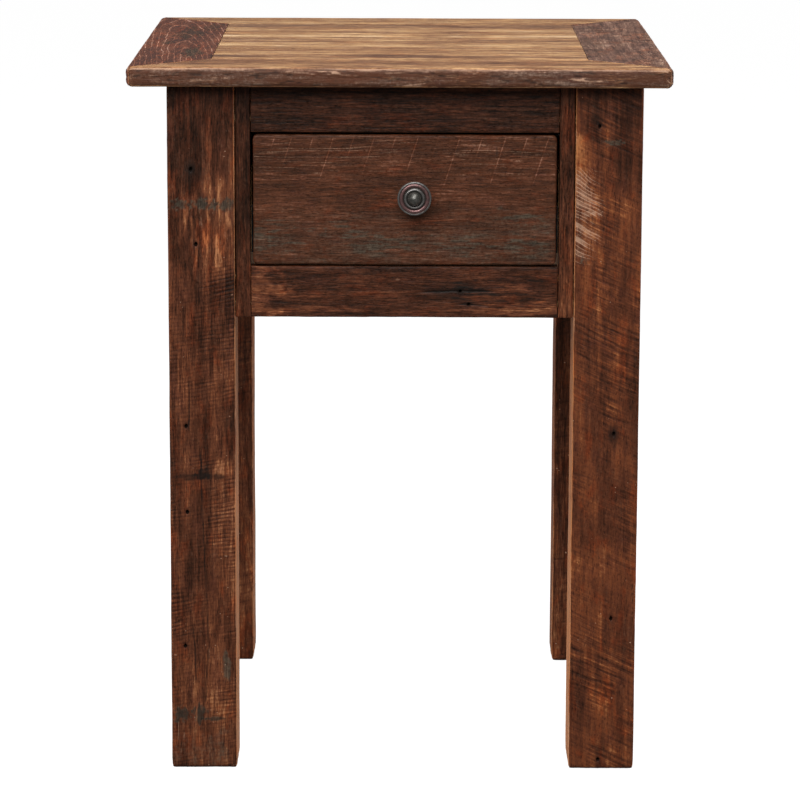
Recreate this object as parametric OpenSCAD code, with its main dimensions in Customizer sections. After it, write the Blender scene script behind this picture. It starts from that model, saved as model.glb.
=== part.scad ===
// Side table with one drawer: a framed plank top on four square legs, a recessed face frame,
// and a dovetailed drawer that runs on full-extension ball-bearing slides.
// The origin is on the floor under the middle of the top. The drawer opens towards -Y. Millimetres.

/* [Top] */
// Width of the tabletop, left to right
top_w = 508; // [500:1:560]
// Depth of the tabletop, front to back
top_d = 508; // [500:1:560]
// Thickness of the tabletop
top_t = 19; // [18:0.5:25]
// Width of the mitred boards round the top
border_w = 76; // [70:1:84]
// Radius of the top's corners, seen from above
corner_r = 11; // [4:1:20]
// Radius that eases the top's upper and lower edges
edge_r = 5; // [2:0.5:6]
// Share of the inner width taken by the back plank
back_plank_share = 0.43; // [0.34:0.01:0.5]
// Length of the tongues on the planks
tongue_l = 8; // [5:1:10]
// Thickness of the tongues on the planks
tongue_t = 6; // [4:0.5:7]

/* [Legs and frame] */
// Side of the square legs
leg_s = 63.5; // [60:0.5:66]
// Length of the legs
leg_h = 661; // [600:1:700]
// Width over the legs
frame_w = 445; // [440:1:450]
// Depth over the legs
frame_d = 458; // [456:1:462]
// How far the hand-fitted base sits to the right of the top's middle
base_shift = 5; // [0:0.5:6]
// Flat that eases the legs' long edges
leg_chamfer = 1.5; // [0.5:0.5:3]
// Flat that eases the edges of the feet
foot_chamfer = 3; // [1:0.5:5]
// Height of the frame under the top
apron_h = 220; // [210:1:240]
// Thickness of the frame's boards
apron_t = 19; // [18:0.5:20]
// How far the frame's boards stand back from the legs' faces
reveal = 5; // [3:0.5:6]
// Visible width of the upright strips beside the drawer
stile_w = 14.5; // [14:0.5:16]
// Height of the rail over the drawer
top_rail_h = 45; // [40:1:50]
// Height of the rail under the drawer
low_rail_h = 49; // [44:1:54]

/* [Drawer] */
// Radius of the drawer front's corners, seen from the front
front_corner_r = 5; // [2:0.5:8]
// Radius that eases the edges of the drawer front's face
front_edge_r = 3; // [1:0.5:4]
// Gap on each side of the drawer front
gap_side = 2; // [1.5:0.5:4]
// Gap over the drawer front
gap_top = 1.5; // [1:0.5:4]
// Gap under the drawer front
gap_low = 1; // [0.5:0.5:3]
// Height of the drawer box
box_h = 100; // [90:1:104]
// Thickness of the drawer box's boards
box_t = 12; // [11:0.5:13]
// Thickness of the drawer's bottom panel
bottom_t = 6; // [4:0.5:8]
// Number of dovetails at each corner of the drawer box
tails = 4; // [3:1:5]

/* [Knob] */
// Diameter of the knob's head
knob_d = 32; // [28:1:36]
// Distance that the knob stands out from the drawer front
knob_l = 26; // [24:1:27]
// Height of the dome in the middle of the knob's face
knob_dome_h = 7; // [5:0.5:8]
// How far the hand-drilled knob sits to the right of the drawer's middle
knob_shift = 9; // [0:1:12]
// How far the knob sits over the drawer's middle
knob_rise = 4; // [0:0.5:5]

/* [Slides] */
// Length of the slides, which is also how far they let the drawer out
slide_l = 400; // [380:5:400]
// Height of the slides' outer member
slide_h = 45; // [44:1:46]
// Thickness of a pair of closed slide members
slide_t = 12.7; // [12.6:0.1:13]
// Thickness of the slides' sheet steel
sheet_t = 1.2; // [1:0.1:1.4]
// Diameter of the slides' balls
ball_d = 4.8; // [4.6:0.1:5]
// Number of balls in each row
row_balls = 6; // [4:1:8]
// Length of the steel cages that hold the balls
cage_l = 130; // [100:5:160]

/* [Hidden] */
$fn = 48;
eps = 0.01;          // overshoot that keeps cutters clear of coincident faces
fit = 0.05;          // radial clearance round screws, dowels and balls

// Top
inner_w = top_w - 2 * border_w;
inner_d = top_d - 2 * border_w;
top_z = leg_h;                       // underside of the top
tongue_z = top_z + (top_t - tongue_t) / 2;
back_plank_d = inner_d * back_plank_share;
plank_d = (inner_d - back_plank_d) / 2;
spline_size = [26, 40, 4];           // across the mitre, along it, and thick

// Frame
leg_in_x = frame_w / 2 - leg_s;      // inner faces of the legs
leg_in_y = frame_d / 2 - leg_s;
apron_z = leg_h - apron_h;
face_y = -frame_d / 2 + reveal;      // front of the face frame and drawer front
frame_in_y = frame_d / 2 - reveal - apron_t;
frame_in_x = frame_w / 2 - reveal - apron_t;
open_x = leg_in_x - stile_w;         // half the drawer opening
open_lo = apron_z + low_rail_h;
open_hi = leg_h - top_rail_h;
tenon_l = 20;
tenon_t = 9;
tenon_inset = 20;                    // shoulder above and below each tenon
dowel_d = 8;
dowel_l = 50;
dowel_in_rail = 20;
dowel_edge = 12;                     // dowel's distance from the rail's edge
block_h = 30;
block_reach = 55;                    // how far a corner block runs past the leg
cleat_h = 110;

// Drawer
front_lo = open_lo + gap_low;
front_hi = open_hi - gap_top;
front_x = open_x - gap_side;
box_x = open_x - slide_t;
box_y0 = face_y + apron_t;
box_y1 = box_y0 + slide_l + 3;
box_lo = (open_lo + open_hi) / 2 - box_h / 2 - 3;
bottom_z = box_lo + 8;
groove = 6;
tail_pitch = box_h / tails;
tail_w = tail_pitch * 0.58;          // tail's width at its root
tail_flare = 2;

// Slides, with x counted from the cabinet wall towards the drawer
slide_y0 = box_y0 + 2;
slide_z = box_lo + slide_h / 2;       // the slides run along the drawer's lower edge
outer_in = slide_h / 2 - sheet_t;    // inside of the outer member's flanges
race = ball_d + 2 * fit;             // room for the balls between two flanges
middle_out = outer_in - race;
middle_in = middle_out - sheet_t;
inner_out = middle_in - race;
outer_x1 = 9.6;
middle_x0 = 2.4;
middle_x1 = 11.3;
inner_x0 = 4.7;
lip = 1.3;                           // how far a flange's lip turns in or out
lip_t = 0.8;
outer_ball_x = 6.2;
inner_ball_x = 8;
cage_t = 0.5;
cage_finger = 3;                     // how far a cage reaches past the middle of its balls
outer_cage_x = 1.55;
inner_cage_x = 3.9;
bumper_l = 6;
slide_screw_y = [18, slide_l / 2, slide_l - 20];
moving_l = slide_l - bumper_l - 0.4; // the moving members stop just short of the bumpers

// Hardware
screw_d = 4;
small_screw_d = 3.4;
block_screw_d = 5;
block_screw_l = 48;
top_screw_l = block_h + 11;
top_screw_near = 5.5;                // from the apron or rail
top_screw_along = 20;                // past the leg's face
cleat_screw_l = 38;
cleat_screw_edge = 11;               // from the cleat's upper and lower edges
cleat_screw_in = 19;                 // past the leg's inner face
cabinet_screw_l = 13;
drawer_screw_l = 11;
front_screw_l = 25;
front_screw_in = 45;                 // from the drawer box's side
front_screw_z = [box_lo + 24, box_lo + box_h - 18];
knob_screw_d = 4;
knob_screw_l = box_t + apron_t + 10;
knob_screw_head = [8, 2.6];          // diameter and height
knob_hole_l = 11;
knob_z = (front_lo + front_hi) / 2 + knob_rise;

// ---------- helpers ----------

// A box between two opposite corners
module block(lo, hi) {
    translate(lo) cube(hi - lo);
}

// The same shape on the left, mirrored from the right
module on_side(side) {
    if (side < 0) mirror([1, 0, 0]) children();
    else children();
}

// Moves the base and drawer to where they sit under the top
module base() {
    translate([base_shift, 0, 0]) children();
}

// A countersunk wood screw along +Z, with its head's face at z = 0 and its tip at z = length.
// With grow above 0 it is the cutter for the screw's hole.
module screw(length, d, grow = 0) {
    head_d = 2 * d;
    head_h = d / 2;
    tip_d = 0.4;
    slot_w = 0.8;
    start = grow > 0 ? -eps : 0;
    difference() {
        union() {
            translate([0, 0, start])
                cylinder(d1 = head_d + 2 * grow, d2 = d + 2 * grow, h = head_h - start);
            cylinder(d = d + 2 * grow, h = length - d);
            translate([0, 0, length - d])
                cylinder(d1 = d + 2 * grow, d2 = tip_d + 2 * grow, h = d);
        }
        // Cross recess, left out of the hole that this shape cuts
        if (grow == 0)
            for (a = [0, 90]) rotate([0, 0, a])
                translate([-d / 2, -slot_w / 2, -eps]) cube([d, slot_w, d / 4]);
    }
}

// ---------- top ----------

// Outline of a border board in section, with its eased outer edge at x = 0
module border_section() {
    translate([edge_r, 0]) square([border_w, top_t]);
    translate([0, edge_r]) square([edge_r + eps, top_t - 2 * edge_r]);
    for (z = [edge_r, top_t - edge_r]) translate([edge_r, z]) circle(edge_r);
}

// A board along X at the front edge, span_x long and set for a top span_y deep
module border_bar(span_x, span_y) {
    translate([-span_x / 2, -span_y / 2, top_z])
        rotate([90, 0, 90]) linear_extrude(height = span_x) border_section();
}

// The mitred plan of that board, with rounded outer corners
module border_plan(span_x, span_y) {
    x = span_x / 2;
    y = -span_y / 2;
    translate([0, 0, top_z - 1]) linear_extrude(height = top_t + 2) difference() {
        polygon([[-x, y], [x, y], [x - border_w, y + border_w], [-x + border_w, y + border_w]]);
        for (s = [-1, 1]) difference() {
            translate([s * (x - corner_r / 2 + 1), y + corner_r / 2 - 1])
                square(corner_r + 2, center = true);
            translate([s * (x - corner_r), y + corner_r]) circle(corner_r);
        }
    }
}

// The tongues of all three planks as one slab
module tongue_slab() {
    block([-inner_w / 2 - tongue_l, -inner_d / 2 - tongue_l, tongue_z],
          [inner_w / 2 + tongue_l, inner_d / 2 + tongue_l, tongue_z + tongue_t]);
}

module mitre_spline_set() {
    for (sx = [-1, 1], sy = [-1, 1])
        translate([sx * (top_w - border_w) / 2, sy * (top_d - border_w) / 2, top_z + top_t / 2])
            rotate([0, 0, 90 + sx * sy * 45]) cube(spline_size, center = true);
}

module top_mitre_splines() {
    color("wheat") mitre_spline_set();
}

// A border board: turn 0 puts it at the front, 90 on the right, 180 at the back and 270 on the left
module top_border(span_x, span_y, turn) {
    color("sienna") difference() {
        rotate([0, 0, turn]) intersection() {
            border_bar(span_x, span_y);
            border_plan(span_x, span_y);
        }
        tongue_slab();
        mitre_spline_set();
        base() top_screw_set(fit);
    }
}

// One plank from y0 to y1, with a tongue at the back and a tongue or a groove at the front
module plank(y0, y1, front_tongue) {
    x = inner_w / 2;
    color("peru") difference() {
        union() {
            block([-x, y0, top_z], [x, y1, top_z + top_t]);
            block([-x - tongue_l, y0 - (front_tongue ? tongue_l : 0), tongue_z],
                  [x + tongue_l, y1 + tongue_l, tongue_z + tongue_t]);
        }
        if (!front_tongue)
            block([-x - tongue_l - 1, y0 - 1, tongue_z],
                  [x + tongue_l + 1, y0 + tongue_l, tongue_z + tongue_t]);
    }
}

// Plank 0 is at the front, and plank 2, which takes up the rest of the depth, at the back
module top_plank(n) {
    y0 = -inner_d / 2 + n * plank_d;
    plank(y0, n == 2 ? inner_d / 2 : y0 + plank_d, n == 0);
}

// ---------- legs and frame ----------

// A leg centred on its own axis, with eased long edges and feet
module leg_blank() {
    s = leg_s / 2;
    c = leg_chamfer;
    f = foot_chamfer;
    intersection() {
        linear_extrude(height = leg_h) polygon([
            [s - c, -s], [s, -s + c], [s, s - c], [s - c, s],
            [-s + c, s], [-s, s - c], [-s, -s + c], [-s + c, -s],
        ]);
        for_both_ways() rotate([90, 0, 0]) linear_extrude(height = leg_s + 2, center = true)
            polygon([[-s + f, 0], [s - f, 0], [s, f], [s, leg_h], [-s, leg_h], [-s, f]]);
    }
}

// The overlap of a shape and the same shape turned a quarter turn about the Z axis
module for_both_ways() {
    intersection() {
        children();
        rotate([0, 0, 90]) children();
    }
}

module leg(sx, sy) {
    color("saddlebrown") base() difference() {
        translate([sx * (frame_w - leg_s) / 2, sy * (frame_d - leg_s) / 2, 0]) leg_blank();
        side_tenons(sx);
        if (sy > 0) back_tenons();
        if (sy < 0) rail_dowel_set(fit);
        block_screw_set(fit);
        cleat_screw_set(fit);
    }
}

module side_tenons(sx) {
    mid = sx * (frame_w / 2 - reveal - apron_t / 2);
    block([mid - tenon_t / 2, -leg_in_y - tenon_l, apron_z + tenon_inset],
          [mid + tenon_t / 2, leg_in_y + tenon_l, leg_h - tenon_inset]);
}

module side_apron(sx) {
    mid = sx * (frame_w / 2 - reveal - apron_t / 2);
    color("saddlebrown") base() union() {
        block([mid - apron_t / 2, -leg_in_y, apron_z], [mid + apron_t / 2, leg_in_y, leg_h]);
        side_tenons(sx);
    }
}

module back_tenons() {
    mid = frame_d / 2 - reveal - apron_t / 2;
    block([-leg_in_x - tenon_l, mid - tenon_t / 2, apron_z + tenon_inset],
          [leg_in_x + tenon_l, mid + tenon_t / 2, leg_h - tenon_inset]);
}

module back_apron() {
    color("saddlebrown") base() union() {
        block([-leg_in_x, frame_in_y, apron_z], [leg_in_x, frame_in_y + apron_t, leg_h]);
        back_tenons();
    }
}

module rail_dowel_set(grow = 0) {
    for (s = [-1, 1], z = [
        apron_z + dowel_edge, open_lo - dowel_edge, open_hi + dowel_edge, leg_h - dowel_edge
    ])
        translate([s * (open_x - dowel_in_rail - grow), face_y + apron_t / 2, z])
            rotate([0, s * 90, 0]) cylinder(d = dowel_d + 2 * grow, h = dowel_l + 2 * grow);
}

module rail_dowels() {
    color("wheat") base() rail_dowel_set();
}

module face_stile(sx) {
    color("saddlebrown") base() difference() {
        on_side(sx) block([open_x, face_y, apron_z], [leg_in_x, face_y + apron_t, leg_h]);
        rail_dowel_set(fit);
    }
}

module face_rail(z0, z1) {
    color("saddlebrown") base() difference() {
        block([-open_x, face_y, z0], [open_x, face_y + apron_t, z1]);
        rail_dowel_set(fit);
    }
}

// A corner block that wraps a leg's inner corner, glued to the leg, the rail and the apron
module corner_block(sx, sy) {
    ax = frame_in_x;
    ay = frame_in_y;
    color("burlywood") base() difference() {
        on_side(sx) mirror([0, sy > 0 ? 0 : 1, 0])
            translate([0, 0, leg_h - block_h]) linear_extrude(height = block_h) polygon([
                [ax, leg_in_y], [ax, leg_in_y - block_reach], [leg_in_x - block_reach, ay],
                [leg_in_x, ay], [leg_in_x, leg_in_y],
            ]);
        block_screw_set(fit);
        top_screw_set(fit);
    }
}

// One long screw through each block into the leg's corner
module block_screw_set(grow = 0) {
    mx = (frame_in_x + leg_in_x - block_reach) / 2;
    my = (frame_in_y + leg_in_y - block_reach) / 2;
    for (sx = [-1, 1], sy = [-1, 1])
        translate([sx * mx, sy * my, leg_h - block_h / 2])
            rotate([0, 0, atan2(sy, sx)]) rotate([0, 90, 0]) screw(block_screw_l, block_screw_d, grow);
}

module corner_block_screws() {
    color("silver") base() block_screw_set();
}

// Two screws up through each block into the top
module top_screw_set(grow = 0) {
    for (sx = [-1, 1], sy = [-1, 1], place = [
        [frame_in_x - top_screw_near, leg_in_y - top_screw_along],
        [leg_in_x - top_screw_along, frame_in_y - top_screw_near],
    ])
        translate([sx * place[0], sy * place[1], leg_h - block_h]) screw(top_screw_l, screw_d, grow);
}

module top_screws() {
    color("silver") base() top_screw_set();
}

// ---------- slide cleats ----------

module slide_cleat(sx) {
    color("burlywood") base() difference() {
        on_side(sx) block([open_x, box_y0, slide_z - cleat_h / 2],
                          [leg_in_x, frame_in_y, slide_z + cleat_h / 2]);
        cleat_screw_set(fit);
        slide_cabinet_screw_set(fit);
    }
}

module cleat_screw_set(grow = 0) {
    y = leg_in_y + cleat_screw_in;
    z = cleat_h / 2 - cleat_screw_edge;
    for (s = [-1, 1], sy = [-1, 1], sz = [-1, 1])
        translate([s * open_x, sy * y, slide_z + sz * z])
            rotate([0, s * 90, 0]) screw(cleat_screw_l, screw_d, grow);
}

module cleat_screws() {
    color("silver") base() cleat_screw_set();
}

// ---------- drawer slides ----------

// Puts a shape drawn with x from the cabinet wall towards the drawer, and y from the slide's front
module at_slide(sx) {
    base() on_side(sx) translate([open_x, slide_y0, slide_z]) mirror([1, 0, 0]) children();
}

// Half of a channel's section, above its middle: the web at web_x, a flange from x0 to x1 whose
// outer face is at z, and a lip at the flange's free end that turns out (1) or in (-1)
module half_channel(web_x, x0, x1, z, lip_dir) {
    lip_x = web_x > x0 ? x0 : x1 - lip_t;
    translate([web_x, -eps]) square([sheet_t, z]);
    translate([x0, z - sheet_t]) square([x1 - x0, sheet_t]);
    translate([lip_x, lip_dir > 0 ? z - sheet_t : z - sheet_t - lip]) square([lip_t, sheet_t + lip]);
}

module channel(web_x, x0, x1, z, lip_dir, length) {
    translate([0, length, 0]) rotate([90, 0, 0]) linear_extrude(height = length) {
        half_channel(web_x, x0, x1, z, lip_dir);
        mirror([0, 1]) half_channel(web_x, x0, x1, z, lip_dir);
    }
}

module slide_outer(sx) {
    color("silver") difference() {
        at_slide(sx) channel(0, 0, outer_x1, slide_h / 2, -1, slide_l);
        base() slide_cabinet_screw_set(fit);
    }
}

module slide_middle(sx) {
    color("silver") at_slide(sx)
        channel(middle_x0, middle_x0, middle_x1, middle_out, -1, moving_l);
}

module slide_inner(sx) {
    color("silver") difference() {
        at_slide(sx) channel(slide_t - sheet_t, inner_x0, slide_t, inner_out, 1, moving_l);
        base() slide_drawer_screw_set(fit);
    }
}

// The balls of one cage as places along its two rows, at z above and below the slide's middle
module at_balls(x, z) {
    pitch = cage_l / row_balls;
    for (s = [-1, 1], n = [0:row_balls - 1])
        translate([x, (slide_l - cage_l + pitch) / 2 + n * pitch, s * z]) children();
}

// Steel cage with a web behind and two rows of balls, which are solids of their own
module ball_cage(sx, z, web_x, ball_x) {
    y0 = (slide_l - cage_l) / 2;
    color("gray") at_slide(sx) {
        difference() {
            union() {
                block([web_x, y0, -z], [web_x + cage_t, y0 + cage_l, z]);
                for (s = [-1, 1])
                    block([web_x, y0, s * z - cage_t / 2],
                          [ball_x + cage_finger, y0 + cage_l, s * z + cage_t / 2]);
            }
            at_balls(ball_x, z) cylinder(d = ball_d + 2 * fit, h = 2, center = true);
        }
        at_balls(ball_x, z) sphere(d = ball_d);
    }
}

module ball_cage_outer(sx) {
    ball_cage(sx, (outer_in + middle_out) / 2, outer_cage_x, outer_ball_x);
}

module ball_cage_inner(sx) {
    ball_cage(sx, (middle_in + inner_out) / 2, inner_cage_x, inner_ball_x);
}

module slide_cabinet_screw_set(grow = 0) {
    for (s = [-1, 1], y = slide_screw_y)
        translate([s * (open_x - sheet_t), slide_y0 + y, slide_z])
            rotate([0, s * 90, 0]) screw(cabinet_screw_l, small_screw_d, grow);
}

module slide_drawer_screw_set(grow = 0) {
    for (s = [-1, 1], y = slide_screw_y)
        translate([s * (box_x + sheet_t), slide_y0 + y, slide_z])
            rotate([0, -s * 90, 0]) screw(drawer_screw_l, small_screw_d, grow);
}

// Rubber stops clipped into the back ends of the outer members
module slide_bumpers() {
    for (sx = [-1, 1])
        color("black") at_slide(sx)
            block([sheet_t, slide_l - bumper_l, -middle_out], [8, slide_l, middle_out]);
}

module slide_cabinet_screws() {
    color("silver") base() slide_cabinet_screw_set();
}

module slide_drawer_screws() {
    color("silver") base() slide_drawer_screw_set();
}

// ---------- drawer ----------

// The tails of one corner, in section along X, from a board's end at y = 0 to its root at y = box_t
module tail_row() {
    for (n = [0:tails - 1]) {
        mid = box_lo + (n + 0.5) * tail_pitch;
        root = tail_w / 2;
        end = root + tail_flare;
        translate([-box_x - 1, 0, 0]) rotate([90, 0, 90]) linear_extrude(height = 2 * box_x + 2)
            polygon([[0, mid - end], [0, mid + end], [box_t, mid + root], [box_t, mid - root]]);
    }
}

module all_tails() {
    translate([0, box_y0, 0]) tail_row();
    translate([0, box_y1, 0]) mirror([0, 1, 0]) tail_row();
}

// A cross board of the box, full width, with sockets cut for the tails
module box_cross_board(y0) {
    difference() {
        block([-box_x, y0, box_lo], [box_x, y0 + box_t, box_lo + box_h]);
        intersection() {
            all_tails();
            for (s = [-1, 1])
                block([s > 0 ? box_x - box_t : -box_x - 1, box_y0 - 1, box_lo - 1],
                      [s > 0 ? box_x + 1 : -box_x + box_t, box_y1 + 1, box_lo + box_h + 1]);
        }
        drawer_bottom_shape();
    }
}

module drawer_bottom_shape() {
    block([-box_x + box_t - groove, box_y0 + box_t - groove, bottom_z],
          [box_x - box_t + groove, box_y1 - box_t + groove, bottom_z + bottom_t]);
}

// A side of the box, whose tails fill the sockets of the cross boards
module drawer_side(sx) {
    x0 = box_x - box_t;
    color("wheat") base() difference() {
        union() {
            on_side(sx) block([x0, box_y0 + box_t, box_lo], [box_x, box_y1 - box_t, box_lo + box_h]);
            intersection() {
                all_tails();
                on_side(sx) block([x0, box_y0, box_lo], [box_x, box_y1, box_lo + box_h]);
            }
        }
        drawer_bottom_shape();
        slide_drawer_screw_set(fit);
    }
}

module drawer_box_front() {
    color("wheat") base() difference() {
        box_cross_board(box_y0);
        front_screw_set(fit);
        knob_screw_hole();
    }
}

module drawer_back() {
    color("wheat") base() box_cross_board(box_y1 - box_t);
}

module drawer_bottom() {
    color("wheat") base() drawer_bottom_shape();
}

// A rectangle from -x to x and from z0 to z1, with corners of radius r
module round_plate(x, z0, z1, r) {
    translate([-x + r, z0]) square([2 * (x - r), z1 - z0]);
    translate([-x, z0 + r]) square([2 * x, z1 - z0 - 2 * r]);
    for (s = [-1, 1], z = [z0 + r, z1 - r]) translate([s * (x - r), z]) circle(r);
}

// The show front: round corners in elevation, and an eased edge all round its face
module drawer_front() {
    r = front_edge_r;
    color("saddlebrown") base() difference() {
        intersection() {
            translate([0, face_y + apron_t, 0]) rotate([90, 0, 0])
                linear_extrude(height = apron_t) round_plate(front_x, front_lo, front_hi, front_corner_r);
            // Side view, eased at the face and running on behind the board
            translate([-frame_w / 2, 0, 0]) rotate([90, 0, 90]) linear_extrude(height = frame_w)
                translate([face_y, 0]) eased_strip(front_lo, front_hi, r);
            // Plan view, eased in the same way
            linear_extrude(height = leg_h) rotate(90)
                translate([face_y, 0]) eased_strip(-front_x, front_x, r);
        }
        front_screw_set(fit);
        knob_screw_hole();
    }
}

// A strip from z0 to z1 that starts at x = 0 with two corners of radius r
module eased_strip(z0, z1, r) {
    translate([r, z0]) square([apron_t, z1 - z0]);
    translate([0, z0 + r]) square([2 * r, z1 - z0 - 2 * r]);
    for (z = [z0 + r, z1 - r]) translate([r, z]) circle(r);
}

module front_screw_set(grow = 0) {
    for (sx = [-1, 1], z = front_screw_z)
        translate([sx * (box_x - front_screw_in), box_y0 + box_t, z])
            rotate([90, 0, 0]) screw(front_screw_l, screw_d, grow);
}

module drawer_front_screws() {
    color("silver") base() front_screw_set();
}

module knob_screw_hole() {
    translate([knob_shift, 0, knob_z]) rotate([90, 0, 0])
        cylinder(d = knob_screw_d + 2 * fit, h = frame_d, center = true);
}

// ---------- knob ----------

// Points along an arc about [r0, h0]
function arc(r0, h0, radius, from, to) = [
    for (n = [0:8]) let (a = from + (to - from) * n / 8) [r0 + radius * cos(a), h0 + radius * sin(a)]
];

// Half section of the knob, with r from its axis and h out from the drawer front:
// a foot bead, a waisted neck, the rim, a wide band, a groove, a bead, and a dome in the middle
function knob_section() = let (
    rim = knob_d / 2,
    face = knob_l - knob_dome_h,
    dome_r = rim * 0.42
) concat(
    [[0, 0]],
    arc(7, 1.2, 1.2, -90, 80),
    arc(9.2, 6, 4, 235, 130),
    arc(rim - 1.3, face - 1.2, 1.3, -60, 110),
    arc(rim - 3.7, face - 1.9, 2.2, 40, 140),
    [[rim - 5.9, face - 1.1]],
    arc(rim - 7.6, face, 1.3, -30, 200),
    [for (a = [0:10:90]) [dome_r * cos(a), face + knob_dome_h * sin(a)]]
);

module knob() {
    color("dimgray") base() translate([knob_shift, face_y, knob_z]) rotate([90, 0, 0]) difference() {
        rotate_extrude($fn = 64) polygon(knob_section());
        translate([0, 0, -eps]) cylinder(d = knob_screw_d + 2 * fit, h = knob_hole_l);
    }
}

// A pan-head machine screw with a cross recess, from inside the drawer box into the knob
module knob_screw() {
    head_d = knob_screw_head[0];
    head_h = knob_screw_head[1];
    slot_w = 0.9;
    color("silver") base() translate([knob_shift, box_y0 + box_t, knob_z]) rotate([90, 0, 0])
        difference() {
            union() {
                translate([0, 0, -head_h]) cylinder(d = head_d, h = head_h);
                cylinder(d = knob_screw_d, h = knob_screw_l);
            }
            for (a = [0, 90]) rotate([0, 0, a]) translate([-head_d / 4, -slot_w / 2, -head_h - eps])
                cube([head_d / 2, slot_w, head_h / 2]);
        }
}

// ---------- nodes ----------

top_border(top_w, top_d, 0);  // top_border_front
top_border(top_d, top_w, 90);  // top_border_right
top_border(top_w, top_d, 180);  // top_border_back
top_border(top_d, top_w, 270);  // top_border_left
top_plank(0);  // top_plank_front
top_plank(1);  // top_plank_middle
top_plank(2);  // top_plank_back
top_mitre_splines();
leg(-1, -1);  // leg_front_left
leg(1, -1);  // leg_front_right
leg(-1, 1);  // leg_back_left
leg(1, 1);  // leg_back_right
face_stile(-1);  // face_stile_left
face_stile(1);  // face_stile_right
face_rail(open_hi, leg_h);  // face_rail_top
face_rail(apron_z, open_lo);  // face_rail_bottom
rail_dowels();
side_apron(-1);  // side_apron_left
side_apron(1);  // side_apron_right
back_apron();
corner_block(-1, -1);  // corner_block_front_left
corner_block(1, -1);  // corner_block_front_right
corner_block(-1, 1);  // corner_block_back_left
corner_block(1, 1);  // corner_block_back_right
corner_block_screws();
top_screws();
slide_cleat(-1);  // slide_cleat_left
slide_cleat(1);  // slide_cleat_right
cleat_screws();
slide_outer(-1);  // slide_outer_left
slide_outer(1);  // slide_outer_right
slide_cabinet_screws();
slide_bumpers();
slide_middle(-1);  // slide_middle_left
slide_middle(1);  // slide_middle_right
ball_cage_outer(-1);  // ball_cage_outer_left
ball_cage_outer(1);  // ball_cage_outer_right
ball_cage_inner(-1);  // ball_cage_inner_left
ball_cage_inner(1);  // ball_cage_inner_right
slide_inner(-1);  // slide_inner_left
slide_inner(1);  // slide_inner_right
slide_drawer_screws();
drawer_front();
drawer_box_front();
drawer_side(-1);  // drawer_side_left
drawer_side(1);  // drawer_side_right
drawer_back();
drawer_bottom();
drawer_front_screws();
knob();
knob_screw();
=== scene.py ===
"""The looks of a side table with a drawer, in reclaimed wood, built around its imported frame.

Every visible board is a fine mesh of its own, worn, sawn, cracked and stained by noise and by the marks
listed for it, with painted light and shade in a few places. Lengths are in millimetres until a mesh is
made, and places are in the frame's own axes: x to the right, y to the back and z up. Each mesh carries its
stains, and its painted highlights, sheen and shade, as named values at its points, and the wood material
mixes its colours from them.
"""

import itertools
import math

import bpy
import numpy as np
from mathutils import Matrix, Vector


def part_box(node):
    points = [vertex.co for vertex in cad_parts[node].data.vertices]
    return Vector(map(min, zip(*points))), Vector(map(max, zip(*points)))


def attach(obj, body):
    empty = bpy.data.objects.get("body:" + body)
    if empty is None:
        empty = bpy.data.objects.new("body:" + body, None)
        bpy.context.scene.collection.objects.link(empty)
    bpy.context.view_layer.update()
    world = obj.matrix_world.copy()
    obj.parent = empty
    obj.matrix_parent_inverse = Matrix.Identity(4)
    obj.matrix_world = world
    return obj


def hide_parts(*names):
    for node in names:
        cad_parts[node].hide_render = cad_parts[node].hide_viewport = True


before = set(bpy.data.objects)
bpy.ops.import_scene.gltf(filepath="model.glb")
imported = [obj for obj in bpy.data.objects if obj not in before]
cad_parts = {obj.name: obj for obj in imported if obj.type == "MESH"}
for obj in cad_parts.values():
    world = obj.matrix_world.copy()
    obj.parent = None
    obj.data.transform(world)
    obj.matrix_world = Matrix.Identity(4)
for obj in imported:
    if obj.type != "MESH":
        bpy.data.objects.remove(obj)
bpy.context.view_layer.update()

MM = 0.001
X, Y, Z = 0, 1, 2

# The grid of the board meshes: fine across the grain, a little coarser along it.
STEP_ACROSS = 1.25
STEP_ALONG = 1.6
CLOSEST_LINES = 0.12

# ---------------------------------------------------------------- noise

TABLE_SIDE = 64
LAYER_FALL = 1.6  # how much weaker each finer layer of noise is
LAYERED_RISE = 1.5  # brings layers, which partly cancel, back to about -1 to 1
NOISE_TABLE = np.random.default_rng(11).uniform(-1, 1, (TABLE_SIDE,) * 3).astype(np.float32)


def noise(points, cell, seed):
    """Smooth random values from -1 to 1 at the points, in blobs as long as cell along x, y and z."""
    shift = np.random.default_rng(seed).uniform(0, TABLE_SIDE, 3)
    place = points / np.asarray(cell, float) + shift
    corner = np.floor(place).astype(np.int64)
    share = (place - corner).astype(np.float32)
    share_x, share_y, share_z = (share * share * (3 - 2 * share)).T
    x0, y0, z0 = (corner & (TABLE_SIDE - 1)).T
    x1, y1, z1 = ((corner + 1) & (TABLE_SIDE - 1)).T

    def row(y, z):
        first = NOISE_TABLE[x0, y, z]
        return first + (NOISE_TABLE[x1, y, z] - first) * share_x

    def layer(z):
        first = row(y0, z)
        return first + (row(y1, z) - first) * share_y

    first = layer(z0)
    return first + (layer(z1) - first) * share_z


def layered_noise(points, cell, seed, layers=3):
    """Noise with finer and weaker copies of itself on top, from about -1 to 1."""
    cell = np.asarray(cell, float)
    shares = [LAYER_FALL**-k for k in range(layers)]
    total = sum(share * noise(points, cell / 2**k, seed + k) for k, share in enumerate(shares))
    return total / sum(shares) * LAYERED_RISE


def smooth_step(low, high, values):
    """0 below low, 1 above high, and a smooth rise between."""
    t = np.clip((values - low) / (high - low), 0, 1)
    return t * t * (3 - 2 * t)


# ---------------------------------------------------------------- board meshes


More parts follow.
